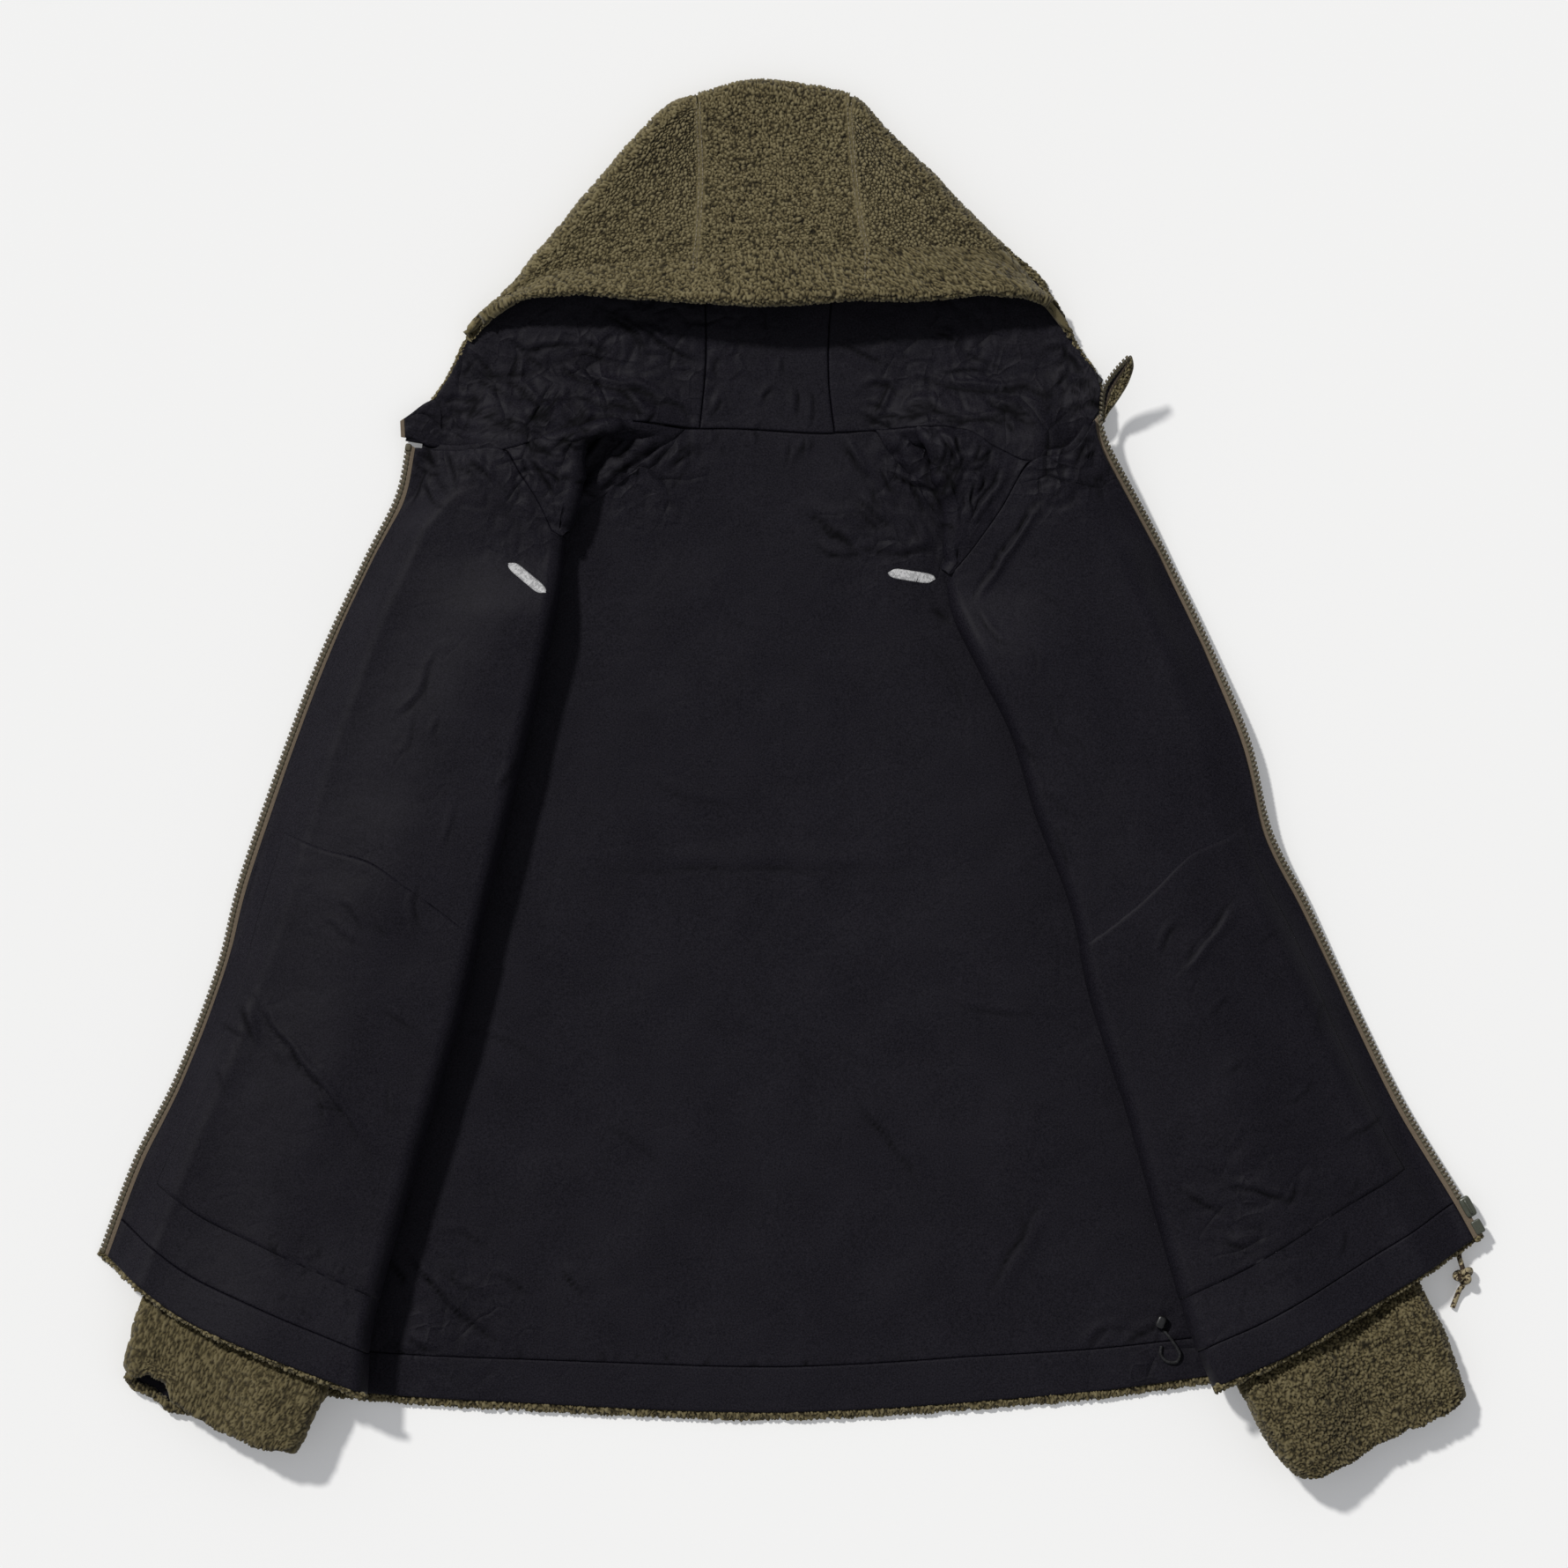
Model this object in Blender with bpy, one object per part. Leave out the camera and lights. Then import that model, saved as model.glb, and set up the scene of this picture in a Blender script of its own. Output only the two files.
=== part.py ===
"""Reversible fleece jacket, laid open on its back with the nylon side up.

Lengths are in millimetres until make_object turns them into metres. X runs across the jacket, Y from
the back hem towards the hood and Z up from the surface that it lies on. Sides are the wearer's, so
the right front lies at -X. Each front is folded back over its sleeve: below its fold line the cloth
turns under, runs outwards as the pleat and meets the back panel's edge there.
"""

import math

import bmesh
import bpy
import numpy as np

MM = 0.001


def table(columns, *rows):
    """The rows as one array for each named column."""
    return dict(zip(columns.split(), np.array(rows, float).T))


# Driving dimensions
CLOTH = 5.5  # fleece and nylon, bonded
LAYER_GAP = 0.3  # between cloth that lies on cloth
SEAM_GAP = 0.8  # between two panels along their seam
HOLLOW = 7.5  # air inside the flattened sleeve
CUFF_HOLLOW = 13.0  # and at its mouth
FOLD_REACH = 8.0  # how far the fold line's round stands out, to mid-cloth
SLEEVE_CLEARANCE = 3.6  # between a sleeve and the front that covers it
ROUND_REACH = 6.5  # the same for the rounds of the sleeves and of the hood's sides
CROWN_REACH = 12.0  # and for the crown
CASING = 29.0  # width of the hem casing
HOOD_EDGE_CLOTH = 6.5  # the hood's casing is turned cloth, a little thicker down its sides
POCKET_CLOTH = 1.2
TAPE_CLOTH = 0.9
CHAIN_WIDTH = 4.3
CHAIN_THICKNESS = 2.6
TAPE_SHOWING = 2.3
FLAP_CLOTH = 3.4
TAB_CLOTH = 2.4
HOOD_EDGE_HEIGHT = 15.0  # mid-height of the hood's upper layer at its outline
HOOD_MOUTH_HEIGHT = 25.0  # and at the middle of the brim
HOOD_HALF_WIDTH = 190.0
HOOD_MIDDLE = 2.0  # its X
RIM_SHARE = 0.45  # share of the neck seam that a sleeve's front half takes up
SHOULDER_LIFT = 15.0  # how far the sleeve heads lift the hood's foot
UNDER_LAYER = CLOTH + LAYER_GAP + CLOTH / 2  # mid-height of the pleat's lower layer
PLEAT_TOP = 2 * (CLOTH + LAYER_GAP)  # height that a sleeve climbs to over the pleat

BACK_INSET = 2.0  # from the raglan and neck seams to the back panel
BACK_RIPPLE = 0.04  # every other point of the back panel lies this much higher
BRIM_INSET = 2.7  # from the brim's seam to the casing
EDGE_INSET = 1.0  # from the line where the hood's round ends to the hood edge
EDGE_START = 0.25  # share of the first stretch that the hood edge leaves to the brim

SIGN = {"right": -1, "left": 1}

# Grids
FINE = 41  # points on a curve that others are read from
BACK_ROWS = 15
SLEEVE_ROWS_BELOW = 12  # rows of a sleeve below the point where its raglan seams part
SLEEVE_ROWS_ABOVE = 4
SLEEVE_COLUMNS = 8  # across each layer of a sleeve or of a hood side
CENTER_COLUMNS = 5
HOOD_FOLDED = 10  # rows of the hood that have both layers
HOOD_FOOT_ROWS = 7  # rows of its lower layer from the brim down to the neck
BRIM_POINTS = 25
BRIM_END_STEPS = 4  # points over which the brim's ends come down
BACK_MIDDLE = (0.0, 300.0)  # the back panel's top edge shrinks towards this point

# Stretches over which one height gives way to another, as start and end in millimetres.
PLEAT_CLIMB = (-64, -20)  # inwards from the pleat's crease
FOLD_TOP_CLIMB = (5, 55)  # down from the fold line's top
CUFF_CLIMB = (20, 140)  # along Y from the back hem
FRONT_RISE = (-36, -2)  # inwards from the sleeve's outer edge
SHOULDER_INNER = (60, 110)  # out from the middle
SHOULDER_OUTER = (195, 255)
SHOULDER_TOP = (668, 723)  # along Y

# Outer edge of the zip's teeth, from the neck down; lift raises that edge off the floor.
ZIP_LINE = {
    "right": table(
        "x y lift",
        (-257, 671, 3),
        (-265, 634, 1),
        (-288, 588, 0),
        (-324, 508, 0),
        (-370, 379, 0),
        (-388, 310, 0),
        (-416, 236, 0),
        (-445, 178, 0),
        (-469, 114, 0),
    ),
    "left": table(
        "x y lift",
        (222, 691, 4),
        (244, 640, 1),
        (266, 597, 2),
        (298, 530, 5),
        (324, 466, 11),
        (339, 404, 9),
        (365, 353, 3),
        (396, 287, 0),
        (430, 218, 1),
        (468, 155, 5),
        (484, 126, 8),
    ),
}

# The fold line that each front turns under at, from its top down, and the depth of the pleat there.
FOLD_LINE = {
    "right": table(
        "x y pleat",
        (-147, 604, 1),
        (-154, 551, 6),
        (-175, 460, 28),
        (-198, 363, 44),
        (-222, 266, 47),
        (-242, 199, 47),
        (-266, 116, 47),
        (-280, 58, 47),
        (-283, 16, 47),
    ),
    "left": table(
        "x y pleat",
        (115, 577, 1),
        (119, 551, 4),
        (138, 512, 14),
        (158, 472, 26),
        (176, 412, 40),
        (200, 351, 46),
        (215, 284, 47),
        (240, 205, 47),
        (264, 120, 47),
        (280, 66, 47),
        (297, 21, 47),
    ),
}

# Each front's hem, from the zip to the fold.
FRONT_HEM = {
    "right": table("x y", (-469, 114), (-416, 73), (-354, 44), (-283, 16)),
    "left": table("x y", (484, 126), (427, 90), (348, 44), (297, 21)),
}

# Each front's top: its neck edge, then its raglan seam down to the fold.
FRONT_TOP = {
    "right": table("x y", (-257, 671), (-222, 666), (-190, 665), (-173, 645), (-158, 624), (-147, 604)),
    "left": table("x y", (222, 691), (203, 667), (173, 657), (149, 621), (129, 594), (115, 577)),
}

# Each sleeve's outer edge, from the cuff to the neck.
SLEEVE_OUTER = {
    "right": table(
        "x y",
        (-452, 28),
        (-437, 85),
        (-401, 175),
        (-365, 260),
        (-338, 333),
        (-303, 454),
        (-266, 551),
        (-238, 612),
        (-191, 664),
    ),
    "left": table(
        "x y",
        (474, 10),
        (457, 58),
        (439, 96),
        (416, 155),
        (386, 218),
        (354, 287),
        (322, 353),
        (298, 404),
        (282, 466),
        (257, 530),
        (224, 597),
        (173, 656),
    ),
}

# Each sleeve's inner edge, from the cuff to where the raglan seams part.
SLEEVE_INNER = {
    "right": table(
        "x y",
        (-334, -28),
        (-308, 23),
        (-292, 80),
        (-266, 175),
        (-240, 260),
        (-223, 333),
        (-193, 454),
        (-173, 551),
        (-167, 585),
        (-160, 617),
    ),
    "left": table(
        "x y",
        (363, -46),
        (340, -22),
        (316, 20),
        (297, 66),
        (281, 120),
        (257, 205),
        (232, 284),
        (217, 351),
        (193, 412),
        (179, 472),
        (162, 512),
        (147, 548),
        (137, 575),
        (122, 598),
    ),
}

# The front half's rolled rim above that, up to the neck, and the back raglan seam.
SLEEVE_RIM = {
    "right": table("x y", (-160, 617), (-146, 625), (-137, 645), (-137, 664)),
    "left": table("x y", (122, 598), (115, 620), (119, 639), (129, 659)),
}
BACK_RAGLAN = {
    "right": table("x y", (-160, 617), (-137, 626), (-110, 646), (-90, 662), (-66, 680)),
    "left": table("x y", (122, 598), (111, 618), (93, 646), (77, 664), (66, 680)),
}
CUFF = {
    "right": table("x y", (-452, 28), (-410, 6), (-375, -12), (-334, -28)),
    "left": table("x y", (474, 10), (416, -15), (385, -33), (363, -46)),
}

# The neck seam, from the wearer's right sleeve to the left one.
SLEEVE_NECK = {
    "right": table("x y", (-191, 664), (-149, 676), (-112, 684), (-66, 680)),
    "left": table("x y", (173, 656), (149, 666), (118, 679), (66, 680)),
}
BACK_NECK = table("x y", (-66, 680), (-26, 680), (31, 677), (66, 680))
BACK_HEM = table("x y", (-330, 22), (-281, 16), (-187, 10), (3, 3), (191, 15), (281, 26), (344, 36))

# The hood's outline on each side, from the crown to the brim's end, then down to the zip.
HOOD_OUTLINE = {
    "right": table("x y", (-59.5, 911), (-78, 902), (-101, 878), (-143, 827), (-180, 784)),
    "left": table("x y", (50.5, 909), (62, 899), (97, 862), (131, 828), (157, 804)),
}
HOOD_SIDE = {
    "right": table("x y", (-180, 784), (-205, 758), (-217, 741), (-231, 713), (-258, 676)),
    "left": table("x y", (157, 804), (181, 783), (203, 742), (220, 715), (222, 696)),
}
# The centre panel's seams: upper is on the layer folded over, lower on the layer beneath.
HOOD_SEAM_UPPER = {
    "right": table("x y", (-56, 897), (-54, 856), (-56, 812), (-58, 798)),
    "left": table("x y", (48, 896), (52, 850), (56, 820), (60, 803)),
}
HOOD_SEAM_LOWER = {
    "right": table("x y", (-56, 897), (-53, 840), (-51, 760), (-51, 723), (-55, 685)),
    "left": table("x y", (48, 896), (44, 840), (35, 760), (34, 715), (38, 682)),
}
CROWN = table("x y", (-57, 912), (-24, 920), (20, 917), (49, 910))
BRIM_SEAM = table("x y", (-180, 784), (-58, 798), (60, 803), (157, 804))
BRIM_EDGE = table(
    "x y",
    (-217, 741),
    (-205, 755),
    (-178, 769),
    (-132, 772),
    (-73, 767),
    (-8, 765),
    (54, 769),
    (112, 769),
    (151, 773),
    (186, 766),
    (203, 742),
)
# The hood's foot: the neck seam seen from above it, in three stretches.
HOOD_FOOT = {
    "right": table("x y", (-258, 676), (-222, 667.5), (-191, 665.5), (-149, 677), (-112, 684.8), (-55, 685)),
    "left": table("x y", (222, 696), (203, 668.5), (173, 658), (149, 667), (118, 680), (38, 682)),
}

# Each front's grid, as shares of its width from the zip and of its height from the hem. The pocket
# bag's edges lie on lines of it.
FRONT_ACROSS = (0, 0.10, 0.22, 0.34, 0.46, 0.58, 0.70, 0.80, 0.90, 1)
POCKET_ACROSS = (1, 8)
FRONT_UP = (0.115, 0.19, 0.27, 0.35, 0.435, 0.52, 0.60, 0.68, 0.75, 0.82, 0.88, 0.94, 1)
POCKET_UP = (0, 6)

# Pieces at the ends of the zip, each with its centre, heading in degrees from +Y, length and width.
SLIDER = {"at": (473.5, 145.0, 8.8), "heading": 29, "size": (8.0, 15.0, 6.5)}
RETAINER_BOX = {"at": (480.5, 131.3, 10.2), "heading": 29, "size": (7.0, 10.0, 4.4)}
TOP_STOP = {
    "right": {"at": (-255.7, 667.6, 5.8), "heading": -12, "size": (4.2, 5.0, 3.4)},
    "left": {"at": (221.8, 686.6, 6.8), "heading": 23, "size": (4.2, 5.0, 3.4)},
}

TOP_STOP_SHARE = 0.18  # share of the chain's last stretch that its stop takes up

# The left front's chin flap curls up and out from the zip's top, from its foot to its tip.
FLAP = table(
    "x y z width",
    (230, 699, 10.5, 16),
    (232, 703.5, 14.3, 17),
    (234, 708, 18, 16),
    (236, 713.5, 23, 14),
    (238, 719, 28, 11),
    (240, 724, 32.5, 8),
    (242, 729, 37, 4),
)
FLAP_ACROSS = (1.0, -0.25, 0.25)
FLAP_SAG = 1.5
# The right front's tab lies folded over: its two Y, its two X at the first of them, and its slant.
TAB = {"y": (681, 693), "x": (-263, -250), "slant": 0.45, "height": HOOD_EDGE_CLOTH + LAYER_GAP + 1.9}

# Route of the slider's pull cord, from under the slider past the hem to its knotted end.
PULL_CORD_DIAMETER = 3.6
PULL_CORD = (
    (474.0, 146.0, 2.9),
    (474.5, 137.0, 2.5),
    (473.5, 128.0, 2.0),
    (470.5, 119.0, 1.9),
    (468.0, 111.5, 3.4),
    (470.0, 103.0, 6.3),
)
PULL_TAIL = ((470.4, 90.7, 5.4), (468.0, 87.0, 3.6), (466.0, 81.5, 2.0), (463.5, 75.0, 1.9))
KNOT = {"at": (471.0, 97.2, 6.1), "heading": 20, "size": (12.0, 9.0, 11.0)}

# The hem drawcord's loop on the back panel, beside the left fold, and the lock on its end.
HEM_CORD_DIAMETER = 2.4
HEM_CORD = (
    (264.0, 60.0, 7.2),
    (268.5, 55.0, 8.6),
    (272.0, 50.0, 9.0),
    (275.5, 43.5, 8.6),
    (273.0, 38.0, 8.0),
    (266.5, 38.5, 7.6),
    (262.5, 43.0, 7.4),
    (262.8, 49.0, 7.3),
)
CORD_LOCK = {"at": (262.6, 65.6, 9.4), "heading": -25, "size": (7.0, 9.0, 6.0)}


def smooth(t):
    """0 below 0, 1 above 1, and an even S between."""
    t = np.clip(t, 0, 1)
    return t * t * (3 - 2 * t)


def ramp(value, stretch):
    """0 before the stretch, 1 past it, and an even S along it."""
    start, end = stretch
    return smooth((value - start) / (end - start))


def points_of(rows):
    return np.stack([rows["x"], rows["y"]], axis=-1)


def curve(points, count, start=0.0, end=1.0):
    """count points, evenly spaced from start to end along the smooth curve through points."""
    points = np.asarray(points, float)
    before = 2 * points[0] - points[1]
    after = 2 * points[-1] - points[-2]
    p = np.vstack([before, points, after])
    t = np.linspace(0, 1, 12, endpoint=False)[:, None]
    spans = []
    for a, b, c, d in zip(p, p[1:], p[2:], p[3:]):
        spans.append(b + t * ((c - a) + t * ((2 * a - 5 * b + 4 * c - d) + t * (3 * b - a - 3 * c + d))) / 2)
    fine = np.vstack(spans + [points[-1:]])
    along = np.concatenate([[0], np.cumsum(np.linalg.norm(np.diff(fine, axis=0), axis=1))])
    wanted = np.linspace(start, end, count) * along[-1]
    return np.stack([np.interp(wanted, along, fine[:, k]) for k in range(fine.shape[1])], axis=-1)


def at_shares(line, shares):
    """Points at the given shares of the way along rows that are evenly spaced."""
    at = np.asarray(shares) * (len(line) - 1)
    below = np.clip(at.astype(int), 0, len(line) - 2)
    part = (at - below).reshape((-1,) + (1,) * (line.ndim - 1))
    return line[below] * (1 - part) + line[below + 1] * part


def fitted(line, start, end):
    """The line with its ends slid to start and end."""
    t = np.linspace(0, 1, len(line))[:, None]
    return line + (1 - t) * (start - line[0]) + t * (end - line[-1])


def coons(bottom, top, left, right, u=None):
    """A grid of plan points between four edges that share their corners: rows go up, columns across."""
    u = (np.linspace(0, 1, len(bottom)) if u is None else u)[None, :, None]
    v = np.linspace(0, 1, len(left))[:, None, None]
    across = (1 - u) * left[:, None] + u * right[:, None]
    upward = (1 - v) * bottom[None] + v * top[None]
    low = (1 - u) * bottom[0] + u * bottom[-1]
    high = (1 - u) * top[0] + u * top[-1]
    return across + upward - (1 - v) * low - v * high


def with_height(plan, height):
    """Plan points with their mid-cloth height as the third coordinate."""
    height = np.broadcast_to(height, plan.shape[:-1])
    return np.concatenate([plan, height[..., None]], axis=-1)


def turn(edge, inward, reach, low, high, count):
    """The round of a fold: half an ellipse from high down to low, standing out to edge."""
    angle = np.linspace(math.pi / 2, -math.pi / 2, count + 2)[1:-1]
    centre = edge + inward * (reach + CLOTH / 2)
    out = -inward[:, None] * (reach * np.cos(angle))[None, :, None]
    middle = ((high + low) / 2)[:, None]
    half = ((high - low) / 2)[:, None]
    return with_height(centre[:, None] + out, middle + half * np.sin(angle)[None])


def unit(vectors):
    return vectors / np.linalg.norm(vectors, axis=-1, keepdims=True)


def grid_normals(mid, ring):
    """The unit normals of a grid of points, whose columns close on themselves in a ring."""
    if ring:
        across = np.roll(mid, -1, axis=1) - np.roll(mid, 1, axis=1)
    else:
        across = np.gradient(mid, axis=1)
    return unit(np.cross(across, np.gradient(mid, axis=0)))


def wall(mid, thickness, present=None, ring=False):
    """The vertices and faces of a wall about the grid mid. present says which of its cells exist."""
    rows, columns = mid.shape[:2]
    across = columns if ring else columns - 1
    if present is None:
        present = np.ones((rows - 1, across), bool)
    offset = grid_normals(mid, ring) * thickness / 2
    vertices = np.concatenate([(mid + offset).reshape(-1, 3), (mid - offset).reshape(-1, 3)])
    other_side = rows * columns

    def vertex(i, j):
        return i * columns + j % columns

    def exists(i, j):
        if ring:
            j %= across
        return 0 <= i < rows - 1 and 0 <= j < across and present[i, j]

    faces = []
    for i, j in np.argwhere(present):
        corners = [vertex(i, j), vertex(i, j + 1), vertex(i + 1, j + 1), vertex(i + 1, j)]
        for triangle in (corners[:3], [corners[0], corners[2], corners[3]]):
            faces.append(triangle)
            faces.append([c + other_side for c in reversed(triangle)])
        beside = [(i - 1, j), (i, j + 1), (i + 1, j), (i, j - 1)]
        for k, neighbour in enumerate(beside):
            if not exists(*neighbour):
                a, b = corners[k], corners[(k + 1) % 4]
                faces.append([b, a, a + other_side, b + other_side])
    return vertices, faces


def make_material(name, colour, roughness, metallic=0.0):
    material = bpy.data.materials.new(name)
    material.use_nodes = True
    shader = material.node_tree.nodes["Principled BSDF"]
    shader.inputs["Base Color"].default_value = (*colour, 1)
    shader.inputs["Roughness"].default_value = roughness
    shader.inputs["Metallic"].default_value = metallic
    return material


def make_object(name, vertices, faces, material):
    """One closed object in metres, facing out, without the vertices that no face uses."""
    mesh = bpy.data.meshes.new(name)
    mesh.from_pydata([tuple(v * MM for v in vertex) for vertex in vertices], [], faces)
    edit = bmesh.new()
    edit.from_mesh(mesh)
    bmesh.ops.delete(edit, geom=[v for v in edit.verts if not v.link_faces], context="VERTS")
    bmesh.ops.recalc_face_normals(edit, faces=edit.faces)
    edit.to_mesh(mesh)
    edit.free()
    mesh.materials.append(material)
    obj = bpy.data.objects.new(name, mesh)
    bpy.context.scene.collection.objects.link(obj)
    return obj


def make_wall(name, mid, thickness, material, present=None, ring=False):
    return make_object(name, *wall(mid, thickness, present, ring), material)


def pleat_edge(side, y):
    """X of the pleat's outer crease at height y."""
    rows = FOLD_LINE[side]
    outer = rows["x"] + SIGN[side] * rows["pleat"]
    return np.interp(y, rows["y"][::-1], outer[::-1])


def sleeve_base(side, plan):
    """Height under a sleeve: the floor, climbing onto the pleat where the two cross."""
    x, y = plan[..., 0], plan[..., 1]
    inside = SIGN[side] * (pleat_edge(side, y) - x)
    below_top = FOLD_LINE[side]["y"][0] - y
    return PLEAT_TOP * ramp(inside, PLEAT_CLIMB) * ramp(below_top, FOLD_TOP_CLIMB)


def sleeve_thickness(y):
    """The flattened sleeve's full height: two cloths and the air between, more at the cuff."""
    return 2 * CLOTH + CUFF_HOLLOW + (HOLLOW - CUFF_HOLLOW) * ramp(y, CUFF_CLIMB)


def front_height(side, plan, lift):
    """Mid-height of a front: on the floor at its zip, over the sleeve and its pleat further in."""
    x, y = plan[..., 0], plan[..., 1]
    outer = SLEEVE_OUTER[side]
    order = np.argsort(outer["y"])
    edge = np.interp(y, outer["y"][order], outer["x"][order])
    past_edge = SIGN[side] * (edge - x)
    rise = ramp(past_edge, FRONT_RISE)
    over_sleeve = sleeve_base(side, plan) + sleeve_thickness(y) + SLEEVE_CLEARANCE
    return CLOTH / 2 + lift * (1 - rise) + over_sleeve * rise


class FrontPlan:
    """One front's edges, shared by the panel, its hem casing, its pocket and its zip."""

    def __init__(self, side):
        self.side = side
        zip_line, fold, hem, top = ZIP_LINE[side], FOLD_LINE[side], FRONT_HEM[side], FRONT_TOP[side]
        self.zip_edge = np.column_stack([zip_line["x"], zip_line["y"], zip_line["lift"]])[::-1]
        self.fold_edge = np.column_stack([fold["x"], fold["y"], fold["pleat"]])[::-1]
        self.hem = points_of(hem)
        self.top = points_of(top)
        self.zip_width = CHAIN_WIDTH + TAPE_SHOWING + 2 * LAYER_GAP

    def rows(self, up):
        """Zip edge, fold edge, the direction from fold to zip, the zip edge's lift and the pleat."""
        zip_edge = at_shares(curve(self.zip_edge, FINE), up)
        fold_edge = at_shares(curve(self.fold_edge, FINE), up)
        inward = unit(zip_edge[:, :2] - fold_edge[:, :2])
        return zip_edge[:, :2], fold_edge[:, :2], inward, zip_edge[:, 2], fold_edge[:, 2]

    def top_layer(self, up):
        """Plan and mid-height of the upper layer between the zip tape and the fold's round."""
        zip_edge, fold_edge, inward, lift, _ = self.rows(np.linspace(0, 1, FINE))
        left = zip_edge - inward * self.zip_width
        right = fold_edge + inward * (FOLD_REACH + CLOTH / 2)
        hem = fitted(at_shares(curve(self.hem, FINE), FRONT_ACROSS), left[0], right[0])
        top = fitted(at_shares(curve(self.top, FINE), FRONT_ACROSS), left[-1], right[-1])
        plan = coons(hem, top, left, right, np.array(FRONT_ACROSS))
        height = front_height(self.side, plan, lift[:, None])
        return at_shares(with_height(plan, height), up)

    def profile(self, up):
        """The front from the zip over its fold and back out to the pleat's crease."""
        upper = self.top_layer(up)
        _, fold_edge, inward, _, pleat = self.rows(up)
        under = np.full(len(up), UNDER_LAYER)
        round_turn = turn(fold_edge, inward, FOLD_REACH, under, upper[:, -1, 2], 5)
        start = fold_edge + inward * (FOLD_REACH + CLOTH / 2)
        reach = np.maximum(pleat - FOLD_REACH - CLOTH / 2 - SEAM_GAP, 1.0)
        steps = np.linspace(0, 1, 3)[None, :, None]
        lower = start[:, None] + inward[:, None] * reach[:, None, None] * steps
        return np.concatenate([upper, round_turn, with_height(lower, UNDER_LAYER)], axis=1)


def build_front(side, nylon):
    """The panel, its hem casing, and the pocket bag, which is the panel's own points moved out."""
    plan = FrontPlan(side)
    height = np.linalg.norm(np.diff(points_of(FOLD_LINE[side])[[0, -1]], axis=0))
    casing_top = CASING / height
    up = np.array([casing_top + SEAM_GAP / height, *FRONT_UP])
    mid = plan.profile(up)
    make_wall(f"front_{side}", mid, CLOTH, nylon)
    casing = np.linspace(0, casing_top, 3)
    make_wall(f"front_{side}_hem_casing", plan.profile(casing), CLOTH, nylon)
    normals = grid_normals(mid, False)
    normals *= np.sign(normals[0, 0, 2])
    outward = CLOTH / 2 + LAYER_GAP + POCKET_CLOTH / 2
    patch = mid + normals * outward
    low, high = POCKET_UP[0] + 1, POCKET_UP[1] + 2
    first, last = POCKET_ACROSS[0], POCKET_ACROSS[1] + 1
    make_wall(f"pocket_{side}", patch[low:high, first:last], POCKET_CLOTH, nylon)


def build_back(nylon):
    """The back panel lies flat between the two pleats' creases, with its hem casing below it."""
    crease, raglan = {}, {}
    for side in SIGN:
        fold = FOLD_LINE[side]
        outer = np.column_stack([fold["x"] + SIGN[side] * fold["pleat"], fold["y"]])
        crease[side] = curve(outer[::-1], BACK_ROWS)
        raglan[side] = curve(points_of(BACK_RAGLAN[side]), SLEEVE_ROWS_ABOVE + 1)[1:]
    neck = curve(points_of(BACK_NECK), 8)[1:-1]
    top = np.vstack([raglan["right"], neck, raglan["left"][::-1]])
    top += unit(np.array(BACK_MIDDLE) - top) * BACK_INSET
    top = np.vstack([crease["right"][-1], top, crease["left"][-1]])
    hem = fitted(curve(points_of(BACK_HEM), len(top)), crease["right"][0], crease["left"][0])
    plan = coons(hem, top, crease["right"], crease["left"])
    every_other = np.indices(plan.shape[:2]).sum(axis=0) % 2
    mid = with_height(plan, CLOTH / 2 + BACK_RIPPLE * every_other)
    share = CASING / (BACK_NECK["y"][1] - hem[len(top) // 2, 1]) * (BACK_ROWS - 1)
    seam = (1 - share) * mid[0] + share * mid[1]
    gap = np.array([0, SEAM_GAP, 0])
    make_wall("back_panel", np.concatenate([[seam + gap], mid[1:]]), CLOTH, nylon)
    make_wall("back_hem_casing", np.stack([mid[0], (mid[0] + seam) / 2, seam]), CLOTH, nylon)


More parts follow.
